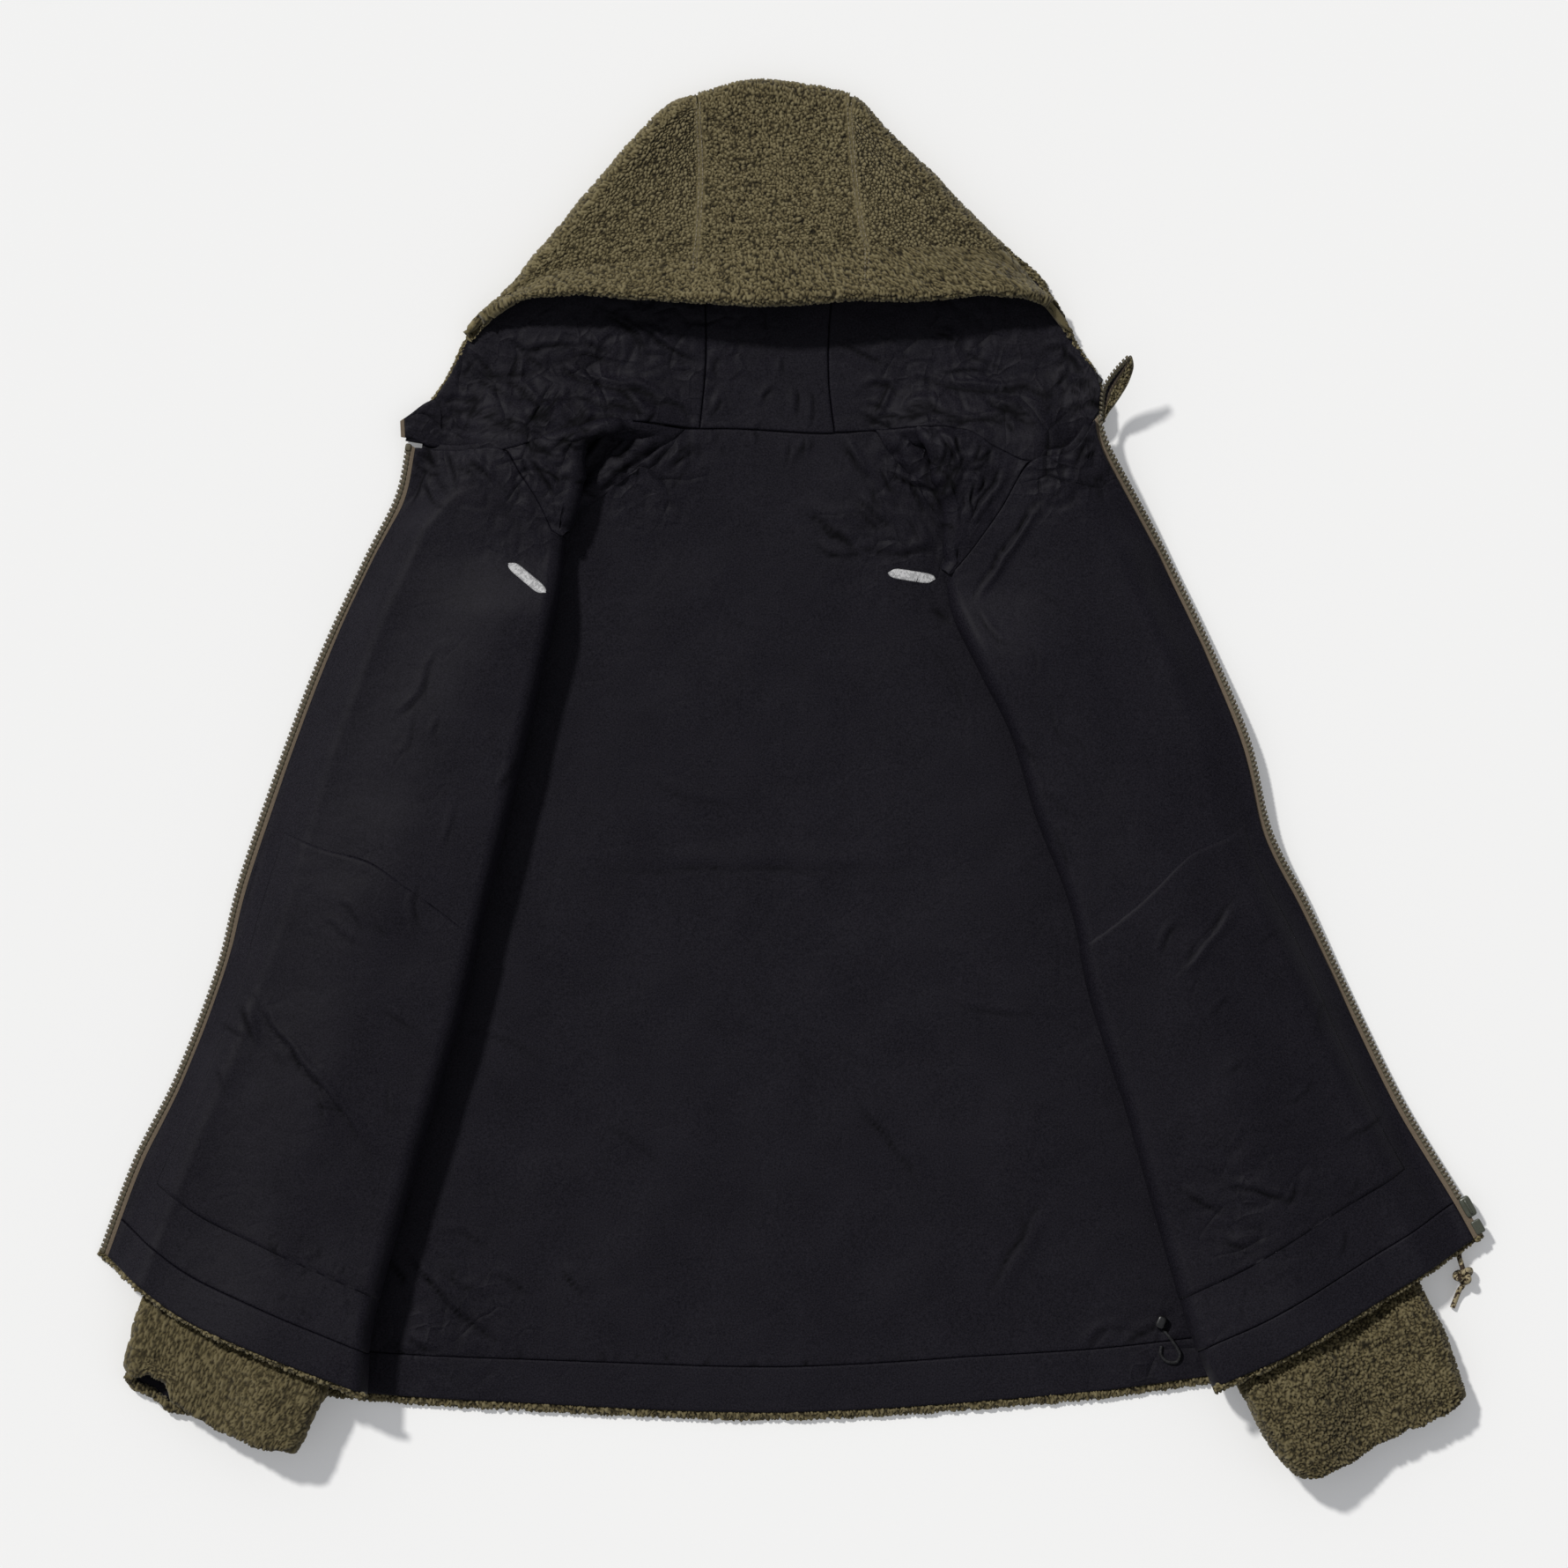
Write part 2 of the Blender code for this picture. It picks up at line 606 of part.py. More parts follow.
def build_sleeve(side, nylon):
    """A flattened tube, open at the cuff and, above the point where the raglan seams part, at its rim."""
    below = SLEEVE_ROWS_BELOW
    rows = below + SLEEVE_ROWS_ABOVE
    outer = curve(points_of(SLEEVE_OUTER[side]), rows)
    inner = curve(points_of(SLEEVE_INNER[side]), below)
    rim = np.vstack([inner, curve(points_of(SLEEVE_RIM[side]), SLEEVE_ROWS_ABOVE + 1)[1:]])
    raglan = np.vstack([inner, curve(points_of(BACK_RAGLAN[side]), SLEEVE_ROWS_ABOVE + 1)[1:]])
    inward = unit(inner[:below] - outer[:below])
    inward = np.vstack([inward, unit(rim[below:] - outer[below:])])
    from_edge = ROUND_REACH + CLOTH / 2
    is_tube = (np.arange(rows) < below)[:, None]
    outer_start = outer + inward * from_edge
    inner_start = rim - inward * from_edge * is_tube
    lower_end = raglan - inward * from_edge * is_tube
    lower_end[below:] += np.array([SIGN[side] * SEAM_GAP, 0])
    cuff = curve(points_of(CUFF[side]), SLEEVE_COLUMNS)
    neck = curve(points_of(SLEEVE_NECK[side]), SLEEVE_COLUMNS)
    rim_neck = curve(points_of(SLEEVE_NECK[side]), SLEEVE_COLUMNS, 0, RIM_SHARE)
    upper = coons(
        fitted(cuff, outer_start[0], inner_start[0]),
        fitted(rim_neck, outer_start[-1], inner_start[-1]),
        outer_start,
        inner_start,
    )
    lower = coons(
        fitted(cuff, outer_start[0], lower_end[0]),
        fitted(neck, outer_start[-1], lower_end[-1]),
        outer_start,
        lower_end,
    )
    low = sleeve_base(side, lower) + CLOTH / 2
    high = sleeve_base(side, upper) + sleeve_thickness(upper[..., 1]) - CLOTH / 2
    outer_turn = turn(outer, inward, ROUND_REACH, low[:, 0], high[:, 0], 4)
    inner_turn = turn(rim, -inward, ROUND_REACH, low[:, -1], high[:, -1], 4)
    around = [
        with_height(upper, high)[:, ::-1],
        outer_turn,
        with_height(lower, low),
        inner_turn[:, ::-1],
    ]
    mid = np.concatenate(around, axis=1)
    present = np.ones((rows - 1, mid.shape[1]), bool)
    first_open = mid.shape[1] - inner_turn.shape[1] - 1
    present[below - 1 :, first_open:] = False
    mid[below:, first_open + 1 :] = mid[below - 1, first_open + 1 :] + (mid[below:, :1] - mid[below - 1, :1])
    make_wall(f"sleeve_{side}", mid, CLOTH, nylon, present, ring=True)


def hood_height(plan, near_brim):
    """Mid-height of the hood's folded-over layer: lowest at its outline, highest at the brim's middle."""
    share = np.clip(np.abs(plan[..., 0] - HOOD_MIDDLE) / HOOD_HALF_WIDTH, 0, 1)
    middle = np.cos(share * math.pi / 2)
    return HOOD_EDGE_HEIGHT + (HOOD_MOUTH_HEIGHT - HOOD_EDGE_HEIGHT) * middle * near_brim


def foot_height(side, plan):
    """Mid-height of the hood's lower layer, which the sleeve heads lift near the neck seam."""
    x, y = plan[..., 0] * SIGN[side], plan[..., 1]
    across = ramp(x, SHOULDER_INNER) * (1 - ramp(x, SHOULDER_OUTER))
    return CLOTH / 2 + SHOULDER_LIFT * across * (1 - ramp(y, SHOULDER_TOP))


def hood_seams(side, away):
    """The upper and the lower seam of the centre panel, moved away from its middle."""
    shift = np.array([SIGN[side] * away, 0])
    upper = curve(points_of(HOOD_SEAM_UPPER[side]), HOOD_FOLDED)
    points = points_of(HOOD_SEAM_LOWER[side])
    lower = np.vstack([curve(points, HOOD_FOLDED, 0, 0.5), curve(points, HOOD_FOOT_ROWS, 0.5, 1)[1:]])
    return upper + shift, lower + shift


def build_hood_center(fleece):
    """The centre panel runs from the neck up the lower layer, round the crown and back to the brim seam."""
    columns = CENTER_COLUMNS
    upper, lower = zip(*(hood_seams(side, -SEAM_GAP) for side in SIGN))
    t = np.linspace(0, 1, columns)[None, :, None]
    over = (1 - t) * upper[0][:, None] + t * upper[1][:, None]
    under = ((1 - t) * lower[0][:, None] + t * lower[1][:, None])[::-1]
    crown = curve(points_of(CROWN), columns)
    bow = crown[:, 1] - np.interp(crown[:, 0], crown[[0, -1], 0], crown[[0, -1], 1])
    under[..., 1] += bow * np.linspace(0, 1, len(under))[:, None] ** 4
    over[..., 1] += bow * np.linspace(1, 0, len(over))[:, None] ** 4
    over[..., 1] += SEAM_GAP * np.linspace(0, 1, len(over))[:, None]
    top_height = hood_height(over, np.linspace(0, 1, len(over))[:, None])
    down = np.tile([0.0, -1.0], (columns, 1))
    edge = under[-1] - down * (CROWN_REACH + CLOTH / 2)
    round_turn = turn(edge, down, CROWN_REACH, np.full(columns, CLOTH / 2), top_height[0], 5)
    layers = [
        with_height(under, CLOTH / 2),
        round_turn.transpose(1, 0, 2)[::-1],
        with_height(over, top_height),
    ]
    make_wall("hood_center", np.concatenate(layers), CLOTH, fleece)


def hood_outline(side):
    """The hood's outline from the crown to the zip, and the direction inwards to the lower seam."""
    outline = curve(points_of(HOOD_OUTLINE[side]), HOOD_FOLDED)
    edge = np.vstack([outline, curve(points_of(HOOD_SIDE[side]), HOOD_FOOT_ROWS)[1:]])
    _, lower = hood_seams(side, SEAM_GAP)
    return edge, unit(lower - edge)


def build_hood_side(side, fleece):
    """A side panel wraps round the hood's outline, and its lower layer runs on to the neck seam."""
    upper_seam, lower_seam = hood_seams(side, SEAM_GAP)
    edge, inward = hood_outline(side)
    start = edge + inward * (ROUND_REACH + CLOTH / 2)
    rows = len(edge)
    columns = SLEEVE_COLUMNS
    t = np.linspace(0, 1, columns)[None, :, None]
    flat = (1 - t) * start[:, None] + t * lower_seam[:, None]
    pull = curve(points_of(HOOD_FOOT[side]), columns) - flat[-1]
    pull[0] = 0
    share = smooth((np.arange(rows) - HOOD_FOLDED) / (HOOD_FOOT_ROWS - 1))[:, None, None]
    flat = flat + share * pull[None]
    over = (1 - t) * start[:HOOD_FOLDED, None] + t * upper_seam[:, None]
    over_mid = with_height(over, hood_height(over, np.linspace(0, 1, HOOD_FOLDED)[:, None]))
    onward = np.arange(1, HOOD_FOOT_ROWS)[:, None, None] * (over_mid[-1] - over_mid[-2])
    over_mid = np.concatenate([over_mid, over_mid[-1] + onward])[:, ::-1]
    round_turn = turn(edge, inward, ROUND_REACH, np.full(rows, CLOTH / 2), over_mid[:, -1, 2], 4)
    mid = np.concatenate([over_mid, round_turn, with_height(flat, foot_height(side, flat))], axis=1)
    present = np.ones((rows - 1, mid.shape[1] - 1), bool)
    present[HOOD_FOLDED - 1 :, : mid.shape[1] - columns] = False
    make_wall(f"hood_side_{side}", mid, CLOTH, fleece, present)


def build_hood_brim(fleece):
    """The brim's casing closes the folded-over layer; its ends come down to the hood's outline."""
    x = np.linspace(BRIM_SEAM["x"][0], BRIM_SEAM["x"][-1], BRIM_POINTS)
    seam = np.column_stack([x, np.interp(x, BRIM_SEAM["x"], BRIM_SEAM["y"]) - BRIM_INSET])
    edge = curve(points_of(BRIM_EDGE), BRIM_POINTS)
    t = np.linspace(0, 1, 4)[:, None, None]
    plan = (1 - t) * edge[None] + t * seam[None]
    from_start = np.arange(BRIM_POINTS)
    ends = smooth(np.minimum(from_start, from_start[::-1]) / BRIM_END_STEPS)
    full = hood_height(plan, 1.0)
    low = CLOTH / 2 + HOOD_EDGE_CLOTH + LAYER_GAP
    make_wall("hood_brim", with_height(plan, low + (full - low) * ends), CLOTH, fleece)


def build_hood_edge(side, fleece):
    """The brim's casing runs on down the outline of the lower layer, from the brim to the zip."""
    edge, inward = (line[HOOD_FOLDED - 1 :].copy() for line in hood_outline(side))
    edge[0] += EDGE_START * (edge[1] - edge[0])
    inner = edge + inward * (ROUND_REACH + CLOTH / 2 - EDGE_INSET)
    plan = np.stack([edge, inner], axis=1)
    height = foot_height(side, plan) + (HOOD_EDGE_CLOTH - CLOTH) / 2
    make_wall(f"hood_edge_{side}", with_height(plan, height), HOOD_EDGE_CLOTH, fleece)


def build_zip(side, tape_material, chain_material):
    """Tape and chain follow the front's edge, side by side, on the rows of the front's own grid."""
    plan = FrontPlan(side)
    up = np.array([0, 0.05, *FRONT_UP])
    zip_edge, _, inward, lift, _ = plan.rows(up)
    bands = {
        "chain": (0.0, CHAIN_WIDTH, CHAIN_THICKNESS, chain_material),
        "tape": (CHAIN_WIDTH + LAYER_GAP, plan.zip_width - 3 * LAYER_GAP, TAPE_CLOTH, tape_material),
    }
    for band, (start, end, thickness, material) in bands.items():
        across = np.array([start, end])[None, :, None]
        lines = zip_edge[:, None] - inward[:, None] * across
        mid = with_height(lines, (lift + CLOTH / 2)[:, None])
        if band == "chain":
            mid[-1] += TOP_STOP_SHARE * (mid[-2] - mid[-1])
        from_slider = 1 if side == "left" and band == "chain" else 0
        make_wall(f"zip_{band}_{side}", mid[from_slider:], thickness, material)


def rounded_block(name, piece, material):
    """A block with eased corners, turned about +Z to its heading."""
    width, length, height = piece["size"]
    edit = bmesh.new()
    bmesh.ops.create_cube(edit, size=1)
    bmesh.ops.scale(edit, vec=(width, length, height), verts=edit.verts)
    bmesh.ops.bevel(
        edit,
        geom=edit.edges[:],
        offset=min(width, length, height) * 0.28,
        segments=2,
        affect="EDGES",
        profile=0.5,
    )
    edit.verts.index_update()
    turned = math.radians(piece["heading"])
    c, s = math.cos(turned), math.sin(turned)
    x, y, z = piece["at"]
    vertices = [(x + c * v.co.x - s * v.co.y, y + s * v.co.x + c * v.co.y, z + v.co.z) for v in edit.verts]
    faces = [[v.index for v in face.verts] for face in edit.faces]
    edit.free()
    return make_object(name, vertices, faces, material)


def build_cord(name, route, diameter, material, count):
    """A tube along the smooth curve through the route."""
    line = curve(np.array(route), count)
    data = bpy.data.curves.new(name, "CURVE")
    data.dimensions = "3D"
    data.bevel_depth = diameter / 2 * MM
    data.bevel_resolution = 2
    data.use_fill_caps = True
    spline = data.splines.new("POLY")
    spline.points.add(count - 1)
    for point, place in zip(spline.points, line):
        point.co = (*(place * MM), 1)
    data.materials.append(material)
    obj = bpy.data.objects.new(name, data)
    bpy.context.scene.collection.objects.link(obj)
    return obj


def build_chin_pieces(fleece):
    """At the zip's tops: the left front's flap curls up and out, and the right one's tab lies folded."""
    spine = np.stack([FLAP["x"], FLAP["y"], FLAP["z"]], axis=-1)
    across = unit(np.array(FLAP_ACROSS))
    t = np.array([-0.5, 0.0, 0.5])[None, :, None]
    flap = spine[:, None] + across * FLAP["width"][:, None, None] * t
    flap[:, [0, -1], 2] += FLAP_SAG
    make_wall("chin_flap_left", flap, FLAP_CLOTH, fleece)
    tab_y = np.linspace(*TAB["y"], 4)[:, None]
    tab_x = np.linspace(*TAB["x"], 4)[None, :] + (tab_y - TAB["y"][0]) * TAB["slant"]
    tab = with_height(np.stack([tab_x, tab_y + 0 * tab_x], axis=-1), TAB["height"])
    make_wall("chin_tab_right", tab, TAB_CLOTH, fleece)


def stand_on_origin(names_left_out):
    """Parents every object to an empty placed so that the jacket's footprint is centred on the origin."""
    bpy.context.view_layer.update()
    corners = []
    for obj in bpy.context.scene.collection.objects:
        if obj.name not in names_left_out:
            corners += [tuple(obj.matrix_world @ v.co) for v in obj.data.vertices]
    low, high = np.min(corners, axis=0), np.max(corners, axis=0)
    holder = bpy.data.objects.new("jacket", None)
    holder.location = (-(low[0] + high[0]) / 2, -(low[1] + high[1]) / 2, -low[2])
    for obj in list(bpy.context.scene.collection.objects):
        obj.parent = holder
    bpy.context.scene.collection.objects.link(holder)


def main():
    for obj in list(bpy.data.objects):
        bpy.data.objects.remove(obj)
    nylon = make_material("nylon", (0.018, 0.018, 0.024), 0.55)
    fleece = make_material("fleece", (0.19, 0.165, 0.095), 0.95)
    tape = make_material("zip_tape", (0.13, 0.105, 0.07), 0.8)
    teeth = make_material("zip_teeth", (0.10, 0.09, 0.05), 0.4)
    slider = make_material("zip_slider", (0.06, 0.065, 0.055), 0.35)
    black = make_material("black_plastic", (0.01, 0.01, 0.01), 0.5)
    cord = make_material("pull_cord", (0.17, 0.15, 0.10), 0.85)
    build_back(nylon)
    for side in SIGN:
        build_front(side, nylon)
        build_sleeve(side, nylon)
        build_hood_side(side, fleece)
        build_hood_edge(side, fleece)
        build_zip(side, tape, teeth)
        rounded_block(f"zip_top_stop_{side}", TOP_STOP[side], teeth)
    build_hood_center(fleece)
    build_hood_brim(fleece)
    build_chin_pieces(fleece)
    rounded_block("zip_slider", SLIDER, slider)
    rounded_block("zip_retainer_box", RETAINER_BOX, slider)
    rounded_block("pull_cord_knot", KNOT, cord)
    rounded_block("hem_cord_lock", CORD_LOCK, black)
    build_cord("pull_cord", PULL_CORD, PULL_CORD_DIAMETER, cord, 7)
    build_cord("pull_cord_tail", PULL_TAIL, PULL_CORD_DIAMETER, cord, 5)
    build_cord("hem_cord_loop", HEM_CORD, HEM_CORD_DIAMETER, black, 14)
    stand_on_origin({"pull_cord", "pull_cord_tail", "hem_cord_loop", "pull_cord_knot", "hem_cord_lock"})


main()
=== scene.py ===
"""Looks of a reversible fleece jacket that lies open on its back, nylon side up.

Lengths are pattern millimetres until a piece is made: X runs across the jacket, Y from the back hem
to the hood, Z up from the floor. Sides are the wearer's, so the right front lies at -X. Every cloth
piece is a closed wall about the same middle surface as its CAD solid, with its own relief: creases in
the nylon, curls in the fleece.
"""

import math
from functools import partialmethod

import bpy
import numpy as np
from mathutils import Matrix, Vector


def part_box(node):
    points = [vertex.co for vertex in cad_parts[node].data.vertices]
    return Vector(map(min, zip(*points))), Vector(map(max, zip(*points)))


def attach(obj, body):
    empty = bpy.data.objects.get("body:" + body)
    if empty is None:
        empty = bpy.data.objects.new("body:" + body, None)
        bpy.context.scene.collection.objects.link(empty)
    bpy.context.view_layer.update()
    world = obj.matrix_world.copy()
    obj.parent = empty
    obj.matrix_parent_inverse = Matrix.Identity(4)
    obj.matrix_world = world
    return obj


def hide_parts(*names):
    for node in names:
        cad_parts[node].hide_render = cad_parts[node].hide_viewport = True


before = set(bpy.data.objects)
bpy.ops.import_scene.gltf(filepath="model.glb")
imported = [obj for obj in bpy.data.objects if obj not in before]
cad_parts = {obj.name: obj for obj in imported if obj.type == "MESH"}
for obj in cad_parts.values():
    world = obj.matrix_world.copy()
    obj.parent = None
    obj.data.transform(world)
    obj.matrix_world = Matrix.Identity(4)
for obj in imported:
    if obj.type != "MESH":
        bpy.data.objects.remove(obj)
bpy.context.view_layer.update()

MM = 0.001


def table(columns, *rows):
    """The rows as one array for each named column."""
    return dict(zip(columns.split(), np.array(rows, float).T))


# Driving dimensions, as in the CAD
CLOTH = 5.5
LAYER_GAP = 0.3
HOLLOW = 7.5
CUFF_HOLLOW = 13.0
FOLD_REACH = 8.0
SLEEVE_CLEARANCE = 3.6
ROUND_REACH = 6.5
CROWN_REACH = 12.0
CASING = 29.0
HOOD_EDGE_CLOTH = 6.5
CHAIN_WIDTH = 4.3
TAPE_SHOWING = 2.3
HOOD_EDGE_HEIGHT = 15.0
HOOD_MOUTH_HEIGHT = 25.0
HOOD_HALF_WIDTH = 190.0
HOOD_MIDDLE = 2.0
SHOULDER_LIFT = 19.3
UNDER_LAYER = CLOTH + LAYER_GAP + CLOTH / 2
PLEAT_TOP = 2 * (CLOTH + LAYER_GAP)
BRIM_END_SHARE = 1 / 8

PLEAT_CLIMB = (-64, -20)
FOLD_TOP_CLIMB = (5, 55)
CUFF_CLIMB = (20, 140)
FRONT_RISE = (-36, -2)
SHOULDER_INNER = (60, 110)
SHOULDER_OUTER = {"right": (193, 227), "left": (175, 209)}
SHOULDER_TOP = (668, 723)

SIGN = {"right": -1, "left": 1}
FINE = 241

ZIP_LINE = {
    "right": table(
        "x y lift", (-257, 671, 3), (-265, 634, 1), (-288, 588, 0), (-324, 508, 0), (-370, 379, 0),
        (-388, 310, 0), (-416, 236, 0), (-445, 178, 0), (-469, 114, 0),
    ),
    "left": table(
        "x y lift", (221, 691, 4), (223, 680, 3.4), (227, 669, 2.6), (232, 659, 1.8), (242.6, 640, 1),
        (266, 597, 2), (298, 530, 5), (324, 466, 11), (339, 404, 9), (365, 353, 3), (396, 287, 0),
        (430, 218, 1), (468, 155, 5), (484, 126, 8),
    ),
}
FOLD_LINE = {
    "right": table(
        "x y pleat", (-147, 604, 1), (-154, 551, 6), (-175, 460, 28), (-198, 363, 44), (-222, 266, 47),
        (-242, 199, 47), (-266, 116, 47), (-280, 58, 47), (-283, 16, 47),
    ),
    "left": table(
        "x y pleat", (115, 577, 1), (119, 551, 4), (138, 512, 14), (158, 472, 26), (176, 412, 40),
        (200, 351, 46), (215, 284, 47), (240, 205, 47), (264, 120, 47), (280, 66, 47), (297, 21, 47),
    ),
}
FRONT_HEM = {
    "right": table("x y", (-469, 114), (-416, 73), (-354, 44), (-283, 16)),
    "left": table("x y", (484, 126), (427, 90), (348, 44), (297, 21)),
}
FRONT_TOP = {
    "right": table("x y", (-257, 671), (-222, 666), (-190, 665), (-173, 645), (-158, 624), (-147, 604)),
    "left": table("x y", (222, 691), (203, 667), (173, 657), (149, 621), (129, 594), (115, 577)),
}
SLEEVE_OUTER = {
    "right": table(
        "x y", (-452, 28), (-437, 85), (-401, 175), (-365, 260), (-338, 333), (-303, 454), (-266, 551),
        (-238, 612), (-191, 664),
    ),
    "left": table(
        "x y", (474, 10), (457, 58), (439, 96), (416, 155), (386, 218), (354, 287), (322, 353), (298, 404),
        (282, 466), (257, 530), (224, 597), (173, 656),
    ),
}
SLEEVE_INNER = {
    "right": table(
        "x y", (-334, -28), (-308, 23), (-292, 80), (-266, 175), (-240, 260), (-223, 333), (-193, 454),
        (-173, 551), (-167, 585), (-160, 617),
    ),
    "left": table(
        "x y", (363, -46), (340, -22), (316, 20), (297, 66), (281, 120), (257, 205), (232, 284),
        (217, 351), (193, 412), (179, 472), (162, 512), (147, 548), (137, 575), (122, 598),
    ),
}
SLEEVE_RIM = {
    "right": table(
        "x y", (-145.5, 604), (-142, 614), (-135, 646), (-135, 663), (-130, 674), (-114, 681),
        (-97, 683.5),
    ),
    "left": table(
        "x y", (116.5, 577), (112, 600), (113, 624), (107, 643), (103, 660), (99, 672), (92, 680),
    ),
}
BACK_RAGLAN = {
    "right": table("x y", (-160, 617), (-137, 626), (-110, 646), (-90, 662), (-66, 680)),
    "left": table("x y", (122, 598), (111, 618), (93, 646), (77, 664), (66, 680)),
}
CUFF = {
    "right": table("x y", (-452, 28), (-410, 6), (-375, -12), (-334, -28)),
    "left": table("x y", (474, 10), (416, -15), (385, -33), (363, -46)),
}
SLEEVE_NECK = {
    "right": table("x y", (-191, 664), (-149, 676), (-112, 684), (-66, 680)),
    "left": table("x y", (173, 656), (149, 666), (118, 679), (66, 680)),
}
BACK_NECK = table("x y", (-66, 680), (-26, 680), (31, 677), (66, 680))
BACK_HEM = table("x y", (-330, 22), (-281, 16), (-187, 10), (3, 3), (191, 15), (281, 26), (344, 36))

HOOD_OUTLINE = {
    "right": table("x y", (-57.2, 911.4), (-78, 902), (-101, 878), (-143, 827), (-180, 784)),
    "left": table("x y", (49.4, 909.6), (62, 899), (97, 862), (131, 828), (157, 804)),
}
HOOD_SIDE = {
    "right": table("x y", (-180, 784), (-205, 758), (-217, 741), (-231, 713), (-258, 676)),
    "left": table("x y", (157, 804), (181, 783), (203, 742), (220, 715), (222, 696)),
}
HOOD_SEAM_UPPER = {
    "right": table("x y", (-56, 897), (-54, 856), (-56, 812), (-58, 798)),
    "left": table("x y", (48, 896), (52, 850), (56, 820), (60, 803)),
}
HOOD_SEAM_LOWER = {
    "right": table("x y", (-56, 897), (-53, 840), (-51, 760), (-51, 723), (-55, 680.6)),
    "left": table("x y", (48, 896), (44, 840), (35, 760), (34, 715), (38, 678)),
}
CROWN = table("x y", (-57, 912), (-24, 920), (20, 917), (49, 910))
BRIM_SEAM = table("x y", (-180, 784), (-58, 798), (60, 803), (157, 804))
BRIM_EDGE = table(
    "x y", (-217, 741), (-205, 755), (-178, 769), (-132, 772), (-73, 767), (-8, 765), (54, 769),
    (112, 769), (151, 773), (186, 766), (203, 742),
)
HOOD_FOOT = {
    "right": table(
        "x y", (-258, 672), (-222, 666.6), (-191, 665), (-149, 676.6), (-112, 684), (-55, 680.6),
    ),
    "left": table("x y", (222, 693), (203, 667.6), (173, 657.2), (149, 666.5), (118, 679.4), (38, 678)),
}

PANEL_FOOT = 0.046  # share of a front's height where its hem casing ends
POCKET_ACROSS = (0.10, 1.0)
POCKET_UP = (0.108, 0.536)

SLIDER = {"at": (473.5, 145.0, 8.8), "heading": 29, "size": (8.0, 15.0, 6.5)}
RETAINER_BOX = {"at": (480.5, 131.3, 10.2), "heading": 29, "size": (7.0, 10.0, 4.4)}
TOP_STOP = {
    "right": {"at": (-255.7, 667.6, 5.8), "heading": -12, "size": (4.2, 5.0, 3.4)},
    "left": {"at": (221.8, 686.6, 6.8), "heading": 23, "size": (4.2, 5.0, 3.4)},
}
FLAP_EDGE = (
    (221.6, 685, 19), (221.4, 692, 21), (221.6, 699, 24), (222.2, 705, 27.5), (224.8, 711, 31),
    (229.6, 717.8, 36), (235, 723.8, 41), (240, 728.4, 44),
)
FLAP_BACK = (
    (223.2, 685.4, 19), (225.8, 691, 20.5), (229.4, 695.6, 22.5), (233, 700.6, 25.5), (237, 707.2, 30.5),
    (240.2, 714.2, 35), (242, 721, 40), (241.2, 728, 43.5),
)
TAB_LOW = ((-260.5, 674.5, 0), (-252, 673, -0.4), (-242, 668, -1.6), (-232, 666.5, -3.4))
TAB_HIGH = ((-261, 685.5, 0), (-254, 690.5, -0.4), (-244, 698, -1.6), (-232, 703, -3.4))
TAB_HEIGHT = HOOD_EDGE_CLOTH + LAYER_GAP + 1.9

PULL_CORD_DIAMETER = 3.6
PULL_CORD = (
    (474.0, 146.0, 2.9), (474.5, 137.0, 2.5), (473.5, 128.0, 2.0), (470.5, 119.0, 1.9),
    (468.0, 111.5, 3.4), (470.0, 103.0, 6.3), (471.0, 97.2, 6.1), (470.4, 90.7, 5.4), (468.0, 87.0, 3.6),
    (466.0, 81.5, 2.0), (463.5, 75.0, 1.9),
)
KNOT = {"at": (471.0, 97.2, 6.1), "heading": 20, "size": (12.0, 9.0, 11.0)}
HEM_CORD_DIAMETER = 2.4
HEM_CORD = (
    (264.0, 60.0, 7.2), (268.5, 55.0, 8.6), (272.0, 50.0, 9.0), (275.5, 43.5, 8.6), (273.0, 38.0, 8.0),
    (266.5, 38.5, 7.6), (262.5, 43.0, 7.4), (262.8, 49.0, 7.3),
)
CORD_LOCK = {"at": (262.6, 65.6, 9.4), "heading": -25, "size": (7.0, 9.0, 6.0)}

# The pattern's own origin in the frame: the cord lock's box says where it lies.
LOCK_LOW, LOCK_HIGH = (np.array(corner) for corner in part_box("hem_cord_lock"))
ORIGIN = (LOCK_LOW + LOCK_HIGH) / 2 - np.array(CORD_LOCK["at"]) * MM

# Relief, in millimetres
NYLON_GRID = 2.15
PILE_GRID = 0.92
HEAD_GRID = 1.7  # of a sleeve head's back half
LAYER_GRID = 1.5  # of the hood's lower layer
STEP = 4  # grid points of a face to one of its back
HEAD_PUFF = 6.0
KNOT_BULK = 1.25
HOOD_SWELL = 5.0
BRIM_ROLL = 1.8
BRIM_LIFT = 13.0
RIM_ROUND = 6.0
CURL = 2.35  # from one curl of the fleece to the next
PILE = 2.5  # from the gaps between curls to their tops
PLAIN_PILE = 0.6  # tone of the fleece that has no modelled curls
EDGE_ROUND = 1.4
CRACK = 0.9  # half width of the sharp line at the foot of a crease
EDGE_STATIONS = np.array([0.0, 0.35, 0.9, 1.7])
STRIP_POINTS = 60
LEAST_WIDTH = 0.0102  # of a sheet's flat cut, in metres
UP = np.array([0.0, 0.0, 1.0])

